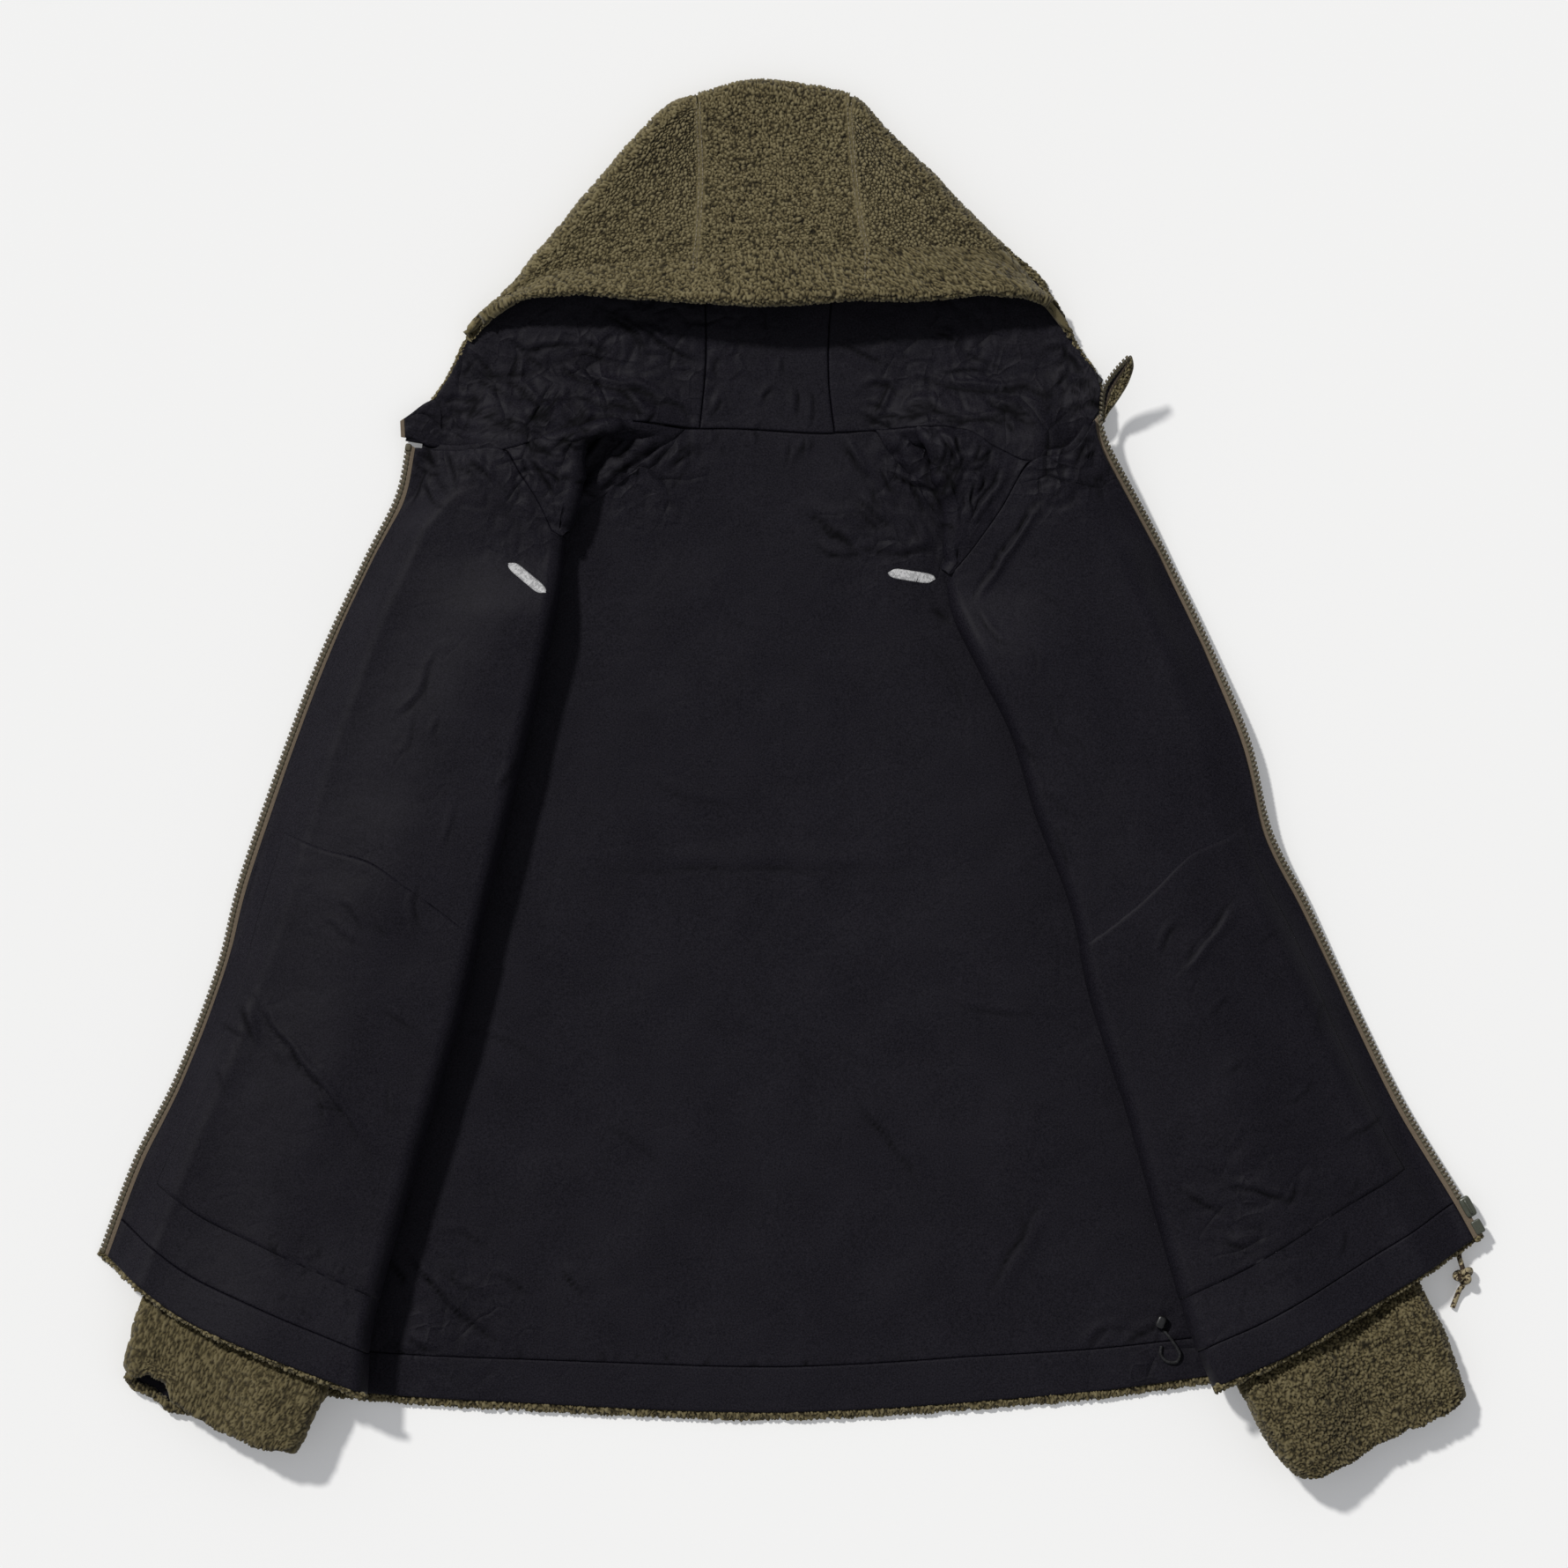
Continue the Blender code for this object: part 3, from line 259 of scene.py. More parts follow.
# Creases: height, the widths left and right of its direction, then its points. Below them, the seed,
# count, centre, reach, heading, spread, length and height of those strewn about a place.
CREASES = {
    "hood": [
        (2.2, 4, 3, (-191, 747), (-174, 738), (-132, 739)),
        (1.8, 4, 3, (-100, 755), (-67, 732), (-50, 728)),
        (2.2, 4, 3, (-158, 730), (-139, 719), (-109, 709), (-75, 705)),
        (2.0, 3, 4, (-145, 707), (-155, 694), (-164, 680)),
        (1.8, 3, 4, (-175, 732), (-180, 713)),
        (1.8, 4, 3, (-147, 687), (-118, 688), (-93, 687)),
        (1.6, 4, 3, (-98, 705), (-75, 700), (-58, 688)),
        (-2.8, 4, 3, (-158, 677), (-135, 670), (-124, 662)),
        (2.0, 3, 4, (80, 715), (75, 700), (67, 685)),
        (2.4, 4, 3, (84, 717), (103, 714), (129, 709), (156, 708), (185, 715)),
        (1.6, 4, 3, (87, 700), (106, 698), (114, 692)),
        (1.8, 3, 3, (185, 711), (200, 724)),
        (1.8, 3, 3, (194, 736), (215, 718)),
        (1.8, 3, 3, (197, 715), (220, 711)),
    ],
    "back": [
        (2.6, 4, 4, (66, 659), (93, 645), (102, 628), (113, 616)),
        (2.0, 4, 4, (42, 672), (68, 644)),
        (1.8, 4, 4, (55, 635), (80, 613)),
        (1.4, 8, 8, (13, 633), (42, 618), (65, 591)),
        (1.6, 6, 5, (66, 594), (77, 600), (96, 602), (111, 604)),
        (-1.2, 3, 3, (102, 560), (121, 545)),
        (2.4, 4, 5, (-65, 679), (-76, 666), (-91, 656), (-110, 646), (-118, 638), (-134, 626)),
        (2.0, 5, 4, (-261, 124), (-248, 106), (-234, 87), (-217, 71), (-200, 59), (-177, 47)),
        (1.4, 4, 4, (-259, 59), (-249, 53), (-234, 44)),
        (1.2, 5, 5, (-152, 107), (-137, 92), (-126, 81)),
        (1.0, 7, 7, (55, 225), (82, 190), (109, 154)),
        (1.0, 7, 7, (191, 154), (167, 114), (145, 76)),
        (0.6, 9, 9, (-153, 384), (-20, 386), (106, 384)),
    ],
    "right": [
        (
            2.2, 4, 5,
            (-366, 299), (-353, 283), (-338, 262), (-325, 246), (-307, 226), (-292, 207), (-268, 172),
        ),
        (1.6, 4, 4, (-368, 291), (-362, 273), (-355, 255)),
        (1.8, 4, 4, (-212, 663), (-203, 653), (-193, 642)),
        (1.4, 4, 4, (-238, 654), (-251, 624)),
    ],
    "head_right": [
        (2.2, 4, 4, (-172, 668), (-160, 652), (-150, 630)),
        (1.8, 4, 4, (-130, 679), (-146, 668), (-158, 662)),
        (1.6, 3, 3, (-112, 682), (-124, 672), (-134, 656)),
    ],
    "head_left": [
        (2.4, 4, 4, (127, 656), (118, 644), (112, 628)),
        (2.0, 4, 4, (157, 655), (146, 634), (131, 612)),
        (1.8, 3, 3, (112, 676), (120, 664), (124, 650)),
    ],
    "left": [
        (2.6, 3, 5, (192, 639), (176, 621), (158, 594), (138, 569), (133, 554)),
        (1.8, 5, 5, (319, 356), (294, 330), (272, 298)),
        (1.5, 4, 4, (276, 162), (288, 152), (299, 147), (309, 145)),
        (1.5, 4, 4, (299, 166), (316, 163), (344, 155), (360, 154)),
        (1.5, 4, 4, (305, 127), (324, 120)),
    ],
}
STREWN = {
    "hood": [
        (1, 20, (-150, 715), (70, 34), -28, 28, 38, 1.3), (2, 14, (130, 712), (75, 35), -6, 25, 40, 1.2),
        (3, 16, (203, 713), (20, 28), 25, 60, 15, 1.0), (4, 14, (-232, 700), (22, 26), 42, 45, 16, 1.0),
        (5, 16, (-150, 684), (60, 9), 12, 40, 18, 1.1), (6, 12, (120, 690), (60, 9), -12, 40, 18, 1.0),
        (7, 8, (-8, 722), (38, 40), 70, 30, 24, 0.8),
    ],
    "back": [
        (11, 12, (80, 632), (45, 32), -38, 30, 26, 1.2), (12, 7, (-92, 660), (28, 12), 40, 14, 28, 1.3),
        (13, 9, (-225, 75), (45, 50), -42, 25, 34, 0.8), (14, 70, (0, 36), (290, 5), 90, 30, 9, 0.6),
        (15, 12, (0, 330), (210, 240), -50, 45, 60, 0.5), (16, 6, (240, 60), (30, 30), 60, 40, 22, 0.8),
        (17, 10, (0, 668), (60, 8), 90, 30, 14, 0.7),
    ],
    "right": [
        (21, 9, (-222, 652), (28, 16), -52, 24, 24, 1.1), (22, 12, (-330, 220), (80, 130), -50, 30, 34, 0.6),
        (23, 40, (-370, 85), (90, 40), 60, 30, 9, 0.45), (24, 8, (-225, 420), (40, 120), 70, 25, 34, 0.6),
    ],
    "left": [
        (31, 12, (222, 668), (22, 22), 22, 45, 15, 1.0), (32, 10, (330, 220), (70, 130), 45, 35, 30, 0.6),
        (33, 34, (390, 80), (80, 40), 120, 30, 9, 0.45), (34, 8, (190, 480), (40, 90), -60, 25, 34, 0.6),
    ],
    "head_right": [(41, 9, (-150, 655), (22, 22), -40, 30, 18, 1.1)],
    "head_left": [(42, 12, (122, 650), (26, 26), 70, 40, 20, 1.3)],
}

# Where the nylon is finely wrinkled: centre, radius and strength.
CRUMPLES = (
    (215, 700, 38, 1.0), (195, 650, 34, 0.9), (110, 660, 45, 0.9), (-225, 690, 45, 0.9), (-150, 690, 60, 0.9),
    (-170, 640, 45, 0.7), (130, 720, 70, 0.6), (-90, 740, 70, 0.6), (-95, 660, 40, 0.9), (85, 620, 50, 0.5),
    (330, 150, 50, 0.4), (-230, 60, 60, 0.4), (260, 40, 40, 0.5),
)
CRUMPLE_EVERYWHERE = 0.06


# Curves and grids -------------------------------------------------------------------------------


def smooth(t):
    """0 below 0, 1 above 1, and an even S between."""
    t = np.clip(t, 0, 1)
    return t * t * (3 - 2 * t)


def ramp(value, stretch):
    """0 before the stretch, 1 past it, and an even S along it."""
    start, end = stretch
    return smooth((value - start) / (end - start))


def points_of(rows):
    return np.stack([rows["x"], rows["y"]], axis=-1)


def run_of(line):
    """Distance from the first point along a polyline."""
    return np.concatenate([[0], np.cumsum(np.linalg.norm(np.diff(line, axis=0), axis=1))])


def spaced(line, shares):
    """Points at the given shares of a polyline's length."""
    along = run_of(line)
    wanted = np.asarray(shares) * along[-1]
    return np.stack([np.interp(wanted, along, part) for part in line.T], axis=-1)


def curve(points, count, start=0.0, end=1.0):
    """count points, evenly spaced from start to end along the smooth curve through points."""
    points = np.asarray(points, float)
    p = np.vstack([2 * points[0] - points[1], points, 2 * points[-1] - points[-2]])
    t = np.linspace(0, 1, 24, endpoint=False)[:, None]
    spans = [
        b + t * ((c - a) + t * ((2 * a - 5 * b + 4 * c - d) + t * (3 * b - a - 3 * c + d))) / 2
        for a, b, c, d in zip(p, p[1:], p[2:], p[3:])
    ]
    return spaced(np.vstack(spans + [points[-1:]]), np.linspace(start, end, count))


def drawn(rows, count=FINE, start=0.0, end=1.0):
    """The smooth curve through a table's plan points."""
    return curve(points_of(rows), count, start, end)


def at_shares(line, shares):
    """Points at the given shares of the way along rows that are evenly spaced."""
    at = np.asarray(shares) * (len(line) - 1)
    below = np.clip(at.astype(int), 0, len(line) - 2)
    part = (at - below).reshape((-1,) + (1,) * (line.ndim - 1))
    return line[below] * (1 - part) + line[below + 1] * part


def fitted(line, start, end):
    """The line with its ends slid to start and end."""
    t = np.linspace(0, 1, len(line))[:, None]
    return line + (1 - t) * (start - line[0]) + t * (end - line[-1])


def between(first, last, shares):
    """A grid with rows that run straight from one line to the other, at these shares."""
    return first[:, None] + (last - first)[:, None] * shares[None, :, None]


def coons(bottom, top, left, right, u, v=None):
    """A grid of plan points between four edges that share their corners: rows go up, columns across."""
    u, v = u[None, :, None], (np.linspace(0, 1, len(left)) if v is None else v)[:, None, None]
    across = (1 - u) * left[:, None] + u * right[:, None]
    upward = (1 - v) * bottom[None] + v * top[None]
    low, high = ((1 - u) * edge[0] + u * edge[-1] for edge in (bottom, top))
    return across + upward - (1 - v) * low - v * high


def with_height(plan, height):
    """Plan points with their mid-cloth height as the third coordinate."""
    height = np.broadcast_to(height, plan.shape[:-1])
    return np.concatenate([plan, height[..., None]], axis=-1)


def x_at(y, rows, x=None):
    """Where a table's line lies at each y."""
    order = np.argsort(rows["y"])
    return np.interp(y, rows["y"][order], (rows["x"] if x is None else x)[order])


def turn(edge, inward, reach, low, high, count):
    """The round of a fold: half an ellipse from high down to low, standing out to edge."""
    angle = np.linspace(math.pi / 2, -math.pi / 2, count + 2)[1:-1]
    centre = edge + inward * (reach + CLOTH / 2)
    out = -inward[:, None] * (reach * np.cos(angle))[None, :, None]
    middle = ((high + low) / 2)[:, None]
    half = ((high - low) / 2)[:, None]
    return with_height(centre[:, None] + out, middle + half * np.sin(angle)[None])


def unit(vectors):
    return vectors / np.maximum(np.linalg.norm(vectors, axis=-1, keepdims=True), 1e-9)


def level(vectors):
    """Plan vectors as level ones."""
    return np.column_stack([vectors, np.zeros(len(vectors))])


def circle(count):
    """count angles evenly round a circle."""
    return np.linspace(0, 2 * math.pi, count, endpoint=False)


def ovals(one, other, count, width=1.0, height=1.0):
    """Rings of offsets with their half widths along one direction and half heights along the other."""
    angle = circle(count)[None, :, None]
    return np.cos(angle) * one[:, None] * width + np.sin(angle) * other[:, None] * height


def grid_normals(mid, ring=False):
    """The unit normals of a grid of points, whose columns close on themselves in a ring."""
    if ring:
        across = np.roll(mid, -1, axis=1) - np.roll(mid, 1, axis=1)
    else:
        across = np.gradient(mid, axis=1)
    return unit(np.cross(across, np.gradient(mid, axis=0)))


def facing_up(mid, cell):
    """A grid's unit normals, turned so that the one at this cell points up."""
    normals = grid_normals(mid)
    return normals * np.sign(normals[cell][2])


def stations(length, spacing, step=1, low=True, high=True):
    """Shares of the way along a length, close together at the named ends, where a cloth's edge turns.
    There is one more of them than a multiple of step."""
    first = EDGE_STATIONS / length if low else np.zeros(1)
    last = 1 - EDGE_STATIONS[::-1] / length if high else np.ones(1)
    count = max(2, math.ceil((last[0] - first[-1]) * length / spacing))
    count += -(count + len(first) + len(last) - 2) % step
    inner = np.linspace(first[-1], last[0], count + 1)
    return np.concatenate([first[:-1], inner, last[1:]])


def trimmed(count, step=STEP):
    """The most points that are one more than a multiple of step."""
    return count - (count - 1) % step


def edge_distance(mid, ends):
    """Distance of each point to the nearest of the named ends, measured along the grid's own lines."""
    along = np.cumsum(np.linalg.norm(np.diff(mid, axis=0, prepend=mid[:1]), axis=-1), axis=0)
    across = np.cumsum(np.linalg.norm(np.diff(mid, axis=1, prepend=mid[:, :1]), axis=-1), axis=1)
    distances = {
        "foot": along, "head": along[-1:] - along, "first": across, "last": across[:, -1:] - across,
    }
    return np.minimum.reduce([distances[end] for end in ends])


def rounded(distance, reach=EDGE_ROUND):
    """How far a surface drops at this distance from its edge: a quarter round."""
    inside = reach - np.clip(distance, 0, reach)
    return reach - np.sqrt(reach**2 - inside**2)


# Uneven surfaces --------------------------------------------------------------------------------


def lattice(cells, seed):
    """An even spread of numbers from 0 to 1, one for each whole-number cell."""
    mixed = cells @ np.array([374761393, 668265263, 1442695041]) + seed * 915488749
    mixed = (mixed ^ (mixed >> 13)) * 1274126177 & 0xFFFFFFFF
    mixed = (mixed ^ (mixed >> 15)) * 2246822519 & 0xFFFFFFFF
    return ((mixed ^ (mixed >> 13)) & 0xFFFFFF) / 0x1000000


def drift(points, size, seed):
    """Soft noise from -1 to 1: the lattice's numbers, blended between cells of this size."""
    scaled = points / size
    base = np.floor(scaled).astype(np.int64)
    part = smooth(scaled - base)
    total = 0.0
    for corner in np.ndindex(2, 2, 2):
        weight = np.prod(np.where(corner, part, 1 - part), axis=-1)
        total = total + weight * lattice(base + corner, seed)
    return 2 * total - 1


def curl_distances(points, size, seed):
    """Distance to the nearest and to the next of the curls scattered one to a cell, in cells."""
    scaled = points / size
    base = np.floor(scaled).astype(np.int64)
    first = np.full(points.shape[:-1], 9.0)
    second = first.copy()
    for shift in np.ndindex(3, 3, 3):
        cell = base + np.array(shift) - 1
        centre = cell + np.stack([lattice(cell, seed + k) for k in range(3)], axis=-1)
        far = ((scaled - centre) ** 2).sum(axis=-1)
        second = np.minimum(second, np.maximum(first, far))
        first = np.minimum(first, far)
    return np.sqrt(first), np.sqrt(second)


def pile_on(points, seed, size=CURL, grain=(0, 0, 0), wander=0.9):
    """Height and tone of the fleece from 0 in the gaps to 1 on a curl. The height is a dome on each
    curl times a dip where two of them meet; the tone is painted shade, dark mostly in that dip, and
    painted light, paler on the dome's top. grain draws the curls out along that direction."""
    moved = np.stack([drift(points, 5.0, seed + 11 + k) for k in range(3)], axis=-1)
    bent = points + wander * moved
    grain = np.array(grain, float)
    bent = bent - (bent @ grain)[..., None] * grain
    near, after = curl_distances(bent, size, seed)
    dome = np.sqrt(np.clip(1 - 0.85 * near**2, 0, 1))
    gap = smooth((after - near) / 0.34)
    # tone: painted shade in the gaps and painted light on the curls' tops
    return dome * (0.25 + 0.75 * gap), gap * (0.62 + 0.38 * dome)


def waves(points):
    """The soft lie of the hood's thick fleece: dimples and swells of two sizes."""
    return 2.1 * drift(points, 42, 140) + 0.9 * drift(points, 17, 141)


def nearest(flat, points):
    """Distance from each plan point to a line, the share of the way along it, and which side (1 left,
    -1 right)."""
    starts = run_of(points)
    best = np.full(len(flat), 1e9)
    share, side = np.zeros(len(flat)), np.zeros(len(flat))
    for start, length, a, b in zip(starts, np.diff(starts), points, points[1:]):
        d = (b - a) / length
        along = np.clip((flat - a) @ d, 0, length)
        off = flat - a - along[:, None] * d
        far = np.linalg.norm(off, axis=1)
        closer = far < best
        best = np.where(closer, far, best)
        share = np.where(closer, (start + along) / starts[-1], share)
        side = np.where(closer, np.sign(d[0] * off[:, 1] - d[1] * off[:, 0]), side)
    return best, share, side


def creases(plan, lines):
    """Relief and painted shade of the creases, each summed over the lines. A crease is a ridge, height *
    exp(-(d / w)^2), where d is the distance to the line and w the width on that side of it, less a
    sharp crack along the foot of its right side, which is darkened with painted shade. It fades towards
    both ends. A negative height is a trough, height * exp(-d / w), and a crack itself, with painted shade."""
    flat = (plan * [1, 1, 0]).reshape(-1, 3)
    wander = [2.2 * drift(flat, 17, 5 + k) + 0.7 * drift(flat, 6, 7 + k) for k in range(2)]
    flat = flat[:, :2] + np.stack(wander, axis=-1)
    total, dark = np.zeros(len(flat)), np.zeros(len(flat))
    for height, left_width, right_width, *points in lines:
        points = np.array(points, float)
        reach = 3 * max(left_width, right_width)
        near = ((flat > points.min(axis=0) - reach) & (flat < points.max(axis=0) + reach)).all(axis=1)
        best, share, side = nearest(flat[near], points)
        width = 0.75 * np.where(side > 0, left_width, right_width)
        fade = smooth(2.6 * np.minimum(share, 1 - share))
        if height > 0:
            crack_and_shade = np.exp(-np.abs(side * best + 0.9 * right_width) / CRACK)
            total[near] += height * fade * (np.exp(-((best / width) ** 2)) - 1.1 * crack_and_shade)
            # painted shade along the crack at the crease's foot
            dark[near] += 1.2 * crack_and_shade * fade * min(1.0, height)
        else:
            trough = np.exp(-best / width) * fade
            total[near] += height * trough
            # painted shade along the trough
            dark[near] += trough * min(1.0, -height)
    return total.reshape(plan.shape[:-1]), np.clip(dark, 0, 1).reshape(plan.shape[:-1])


def scattered(seed, count, centre, reach, heading, spread, length, height):
    """Short bent creases strewn about a centre: each turned from the heading by up to the spread."""
    chance = np.random.default_rng(seed)
    turns = np.radians(heading + spread * chance.uniform(-1, 1, count))
    halves = length * chance.uniform(0.5, 1.4, (count, 1)) / 2
    ahead = np.stack([np.cos(turns), np.sin(turns)], axis=-1) * halves
    beside = ahead[:, ::-1] * np.array([-1, 1]) * chance.uniform(-0.35, 0.35, (count, 1))
    middles = np.array(centre) + np.array(reach) * chance.uniform(-1, 1, (count, 2))
    heights = height * chance.uniform(0.5, 1.2, count)
    widths = chance.uniform(1.8, 4.4, (count, 2)) * min(1.0, length / 16)
    return [
        (h, *w, m - a, m - a / 3 + b, m + a / 3 + b, m + a)
        for h, w, m, a, b in zip(heights, widths, middles, ahead, beside)
    ]


for place, rows in STREWN.items():
    for row in rows:
        CREASES[place] += scattered(*row)


def crumple_at(points):
    """Fine wrinkling from 0 to 1: a little everywhere, more within each named place's radius."""
    total = np.full(len(points), CRUMPLE_EVERYWHERE)
    for x, y, radius, strength in CRUMPLES:
        far = np.hypot(points[:, 0] - x, points[:, 1] - y) / radius
        total = np.maximum(total, strength * np.exp(-(far**2)))
    return total


def crumpled(plan):
    """Relief and painted shade of crumpled nylon: flat facets between sharp valleys, which lie where either
    of two soft noises is zero. The painted shade darkens those valleys."""
    flat = (plan * [1, 1, 0]).reshape(-1, 3)
    strength = crumple_at(flat)
    total, dark = 0.0, 0.0
    for size, height, seed in ((19, 5.2, 301), (9.5, 2.3, 302)):
        away = np.abs(drift(flat * [1, 1.5, 1], size, seed) + 0.3 * drift(flat, size / 2.3, seed + 9))
        total = total + height * np.minimum(away, 0.45)
        # painted shade in the valleys
        dark = dark + np.exp(-away / 0.05)
    return (total * strength).reshape(plan.shape[:-1]), (0.7 * dark * strength).reshape(plan.shape[:-1])


def nylon_relief(plan, lines, seed):
    """The creases, on wide soft waves and a crumple."""
    flat = plan * np.array([1, 1, 0])
    soft = 0.8 * drift(flat, 62, seed) + 0.45 * drift(flat, 27, seed + 1)
    return soft + crumpled(plan)[0] + creases(plan, lines)[0]


def head_relief(plan, lines, size, seed):
    """The same for a sleeve's head, with smaller and fainter waves."""
    return 0.5 * drift(plan, size, seed) + crumpled(plan)[0] + creases(plan, lines)[0]


# Pieces -----------------------------------------------------------------------------------------


def quads(grid):
    """The cells of a grid of vertex numbers, turning left round its normal."""
    cells = [grid[:-1, :-1], grid[:-1, 1:], grid[1:, 1:], grid[1:, :-1]]
    return np.stack(cells, axis=-1).reshape(-1, 4)


def cells_along(face_edge, back_edge, step):
    """The rim between two edges of which the back one has every step-th point."""
    start = np.arange(len(back_edge) - 1)[:, None] * step
    runs = face_edge[start + np.arange(step, -1, -1)]
    return np.hstack([runs, back_edge[:-1, None], back_edge[1:, None]])


class Piece:
    """Gathers closed shapes in pattern millimetres, and makes them one object in the frame's metres."""

    def __init__(self, name, slot, *finishes, lines=()):
        self.name, self.slot, self.finishes, self.lines = name, slot, finishes, lines
        self.points, self.faces, self.pile = [], [], []
        self.count = 0

    def add(self, points, faces, pile):
        """faces is a list of corner numbers, the finish's number and whether they are smooth. Points
        that pile leaves out have the plain tone."""
        tones = np.full(len(points), PLAIN_PILE)
        if pile is not None:
            tones[: pile.size] = pile.reshape(-1)
        self.faces += [(corners + self.count, finish, is_smooth) for corners, finish, is_smooth in faces]
        self.points.append(points)
        self.pile.append(tones)
        self.count += len(points)
        return self

    def cloth(self, face, back, step=STEP, ring=False, pile=None, finishes=(0, 1, 0)):
        """A closed wall between two grids; its back keeps only every step-th point. finishes are the
        face's, the back's and the rim's."""
        coarse = back[::step, ::step]
        front = np.arange(face[..., 0].size).reshape(face.shape[:2])
        behind = front.size + np.arange(coarse[..., 0].size).reshape(coarse.shape[:2])
        if ring:
            front, behind = (np.hstack([grid, grid[:, :1]]) for grid in (front, behind))
        edges = [(front[0], behind[0]), (front[-1, ::-1], behind[-1, ::-1])]
        if not ring:
            edges += [(front[::-1, 0], behind[::-1, 0]), (front[:, -1], behind[:, -1])]
        middle = face.shape[0] // 2, face.shape[1] // 2
        outwards = (face - back)[middle] @ grid_normals(face, ring)[middle]
        turned = 1 if outwards > 0 else -1
        rims = np.vstack([cells_along(*edge, step) for edge in edges])
        faces = [
            (quads(front)[:, ::turned], finishes[0], True),
            (quads(behind)[:, ::-turned], finishes[1], True),
            (rims[:, ::turned], finishes[2], False),
        ]
        return self.add(np.vstack([face.reshape(-1, 3), coarse.reshape(-1, 3)]), faces, pile)

    def tube(self, rings, finish=0, pile=None, closed=False):
        """A tube through the rings, closed on itself or with a cap over each end."""
        rows, columns = rings.shape[:2]
        grid = np.arange(rows * columns).reshape(rows, columns)
        grid = np.hstack([grid, grid[:, :1]])
        points = rings.reshape(-1, 3)
        shapes = []
        if closed:
            grid = np.vstack([grid, grid[:1]])
        else:
            tips = np.repeat(len(points) + np.arange(2), columns).reshape(2, columns)
            first = np.column_stack([grid[0, 1:], grid[0, :-1], tips[0]])
            last = np.column_stack([grid[-1, :-1], grid[-1, 1:], tips[1]])
            points = np.vstack([points, rings[0].mean(axis=0), rings[-1].mean(axis=0)])
            shapes.append(np.vstack([first, last]))
        shapes.append(quads(grid))
        a, b, c = (points[shapes[-1][:, k]] - rings.mean(axis=(0, 1)) for k in range(3))
        if (np.cross(a, b) * c).sum() < 0:
            shapes = [corners[:, ::-1] for corners in shapes]
        return self.add(points, [(corners, finish, True) for corners in shapes], pile)

    def make(self, *nodes):
        """The object, riding on the jacket's one body and standing for these CAD nodes."""
        points = np.vstack(self.points)
        corners = np.concatenate([f.reshape(-1) for f, _, _ in self.faces])
        sizes, numbers, smooths = np.hstack(
            [np.tile([[f.shape[1]], [number], [is_smooth]], len(f)) for f, number, is_smooth in self.faces]
        )
        mesh = bpy.data.meshes.new(self.name)
        for finish in self.finishes:
            mesh.materials.append(finish)
        mesh.vertices.add(len(points))
        mesh.vertices.foreach_set("co", (points * MM + ORIGIN).astype(np.float32).reshape(-1))
        mesh.loops.add(len(corners))
        mesh.loops.foreach_set("vertex_index", corners.astype(np.int32))
        mesh.polygons.add(len(sizes))
        mesh.polygons.foreach_set("loop_start", (np.cumsum(sizes) - sizes).astype(np.int32))
        mesh.polygons.foreach_set("material_index", numbers.astype(np.int32))
        mesh.polygons.foreach_set("use_smooth", smooths.astype(bool))
        mesh.update(calc_edges=True)
        mesh.validate()
        values = {"pile": np.concatenate(self.pile)}
        if NYLON in self.finishes or SHADED_POCKET_NYLON in self.finishes:
            # Painted shade of the creases and crumple valleys, kept for the nylon finish's colour
            dark = creases(points, self.lines)[1] + crumpled(points)[1]
            values |= {"crumple": crumple_at(points), "crack_and_shade": np.clip(dark, 0, 1)}
        for name, value in values.items():
            attribute = mesh.attributes.new(name, "FLOAT", "POINT")
            attribute.data.foreach_set("value", value.astype(np.float32))
        obj = bpy.data.objects.new(self.name, mesh)
        bpy.context.scene.collection.objects.link(obj)
        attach(obj, "root")
        if nodes:
            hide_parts(*nodes)
        return obj


def cut_of(mid, ring=False):
    """Width, length and area of the flat cut whose middle surface this grid is, in metres."""
    closed = np.concatenate([mid, mid[:, :1]], axis=1) if ring else mid
    width, length = (
        np.linalg.norm(np.diff(closed, axis=k), axis=-1).sum(axis=k).max() * MM for k in (1, 0)
    )
    diagonals = np.cross(closed[1:, 1:] - closed[:-1, :-1], closed[1:, :-1] - closed[:-1, 1:])
    return (width, length), np.linalg.norm(diagonals, axis=-1).sum() / 2 * MM * MM


def lay_sheet(piece, mid, ring=False):
    """Works out the width, length and area of the flat cut of a middle surface, and keeps none of them."""
    (width, length), area = cut_of(mid, ring)
    flat = max(width, LEAST_WIDTH), length
    area = min(area, 0.999 * flat[0] * flat[1])


# Finishes ---------------------------------------------------------------------------------------


class Value:
    """A shader socket. Arithmetic on it adds Math nodes."""

    def __init__(self, finish, socket):
        self.finish, self.socket = finish, socket

    def maths(self, operation, other):
        return self.finish.add("Math", {0: self, 1: other}, operation=operation)

    def __rsub__(self, other):
        return self.finish.add("Math", {0: other, 1: self}, operation="SUBTRACT")

    __add__ = __radd__ = partialmethod(maths, "ADD")
    __mul__ = __rmul__ = partialmethod(maths, "MULTIPLY")
    __sub__ = partialmethod(maths, "SUBTRACT")
    __pow__ = partialmethod(maths, "POWER")


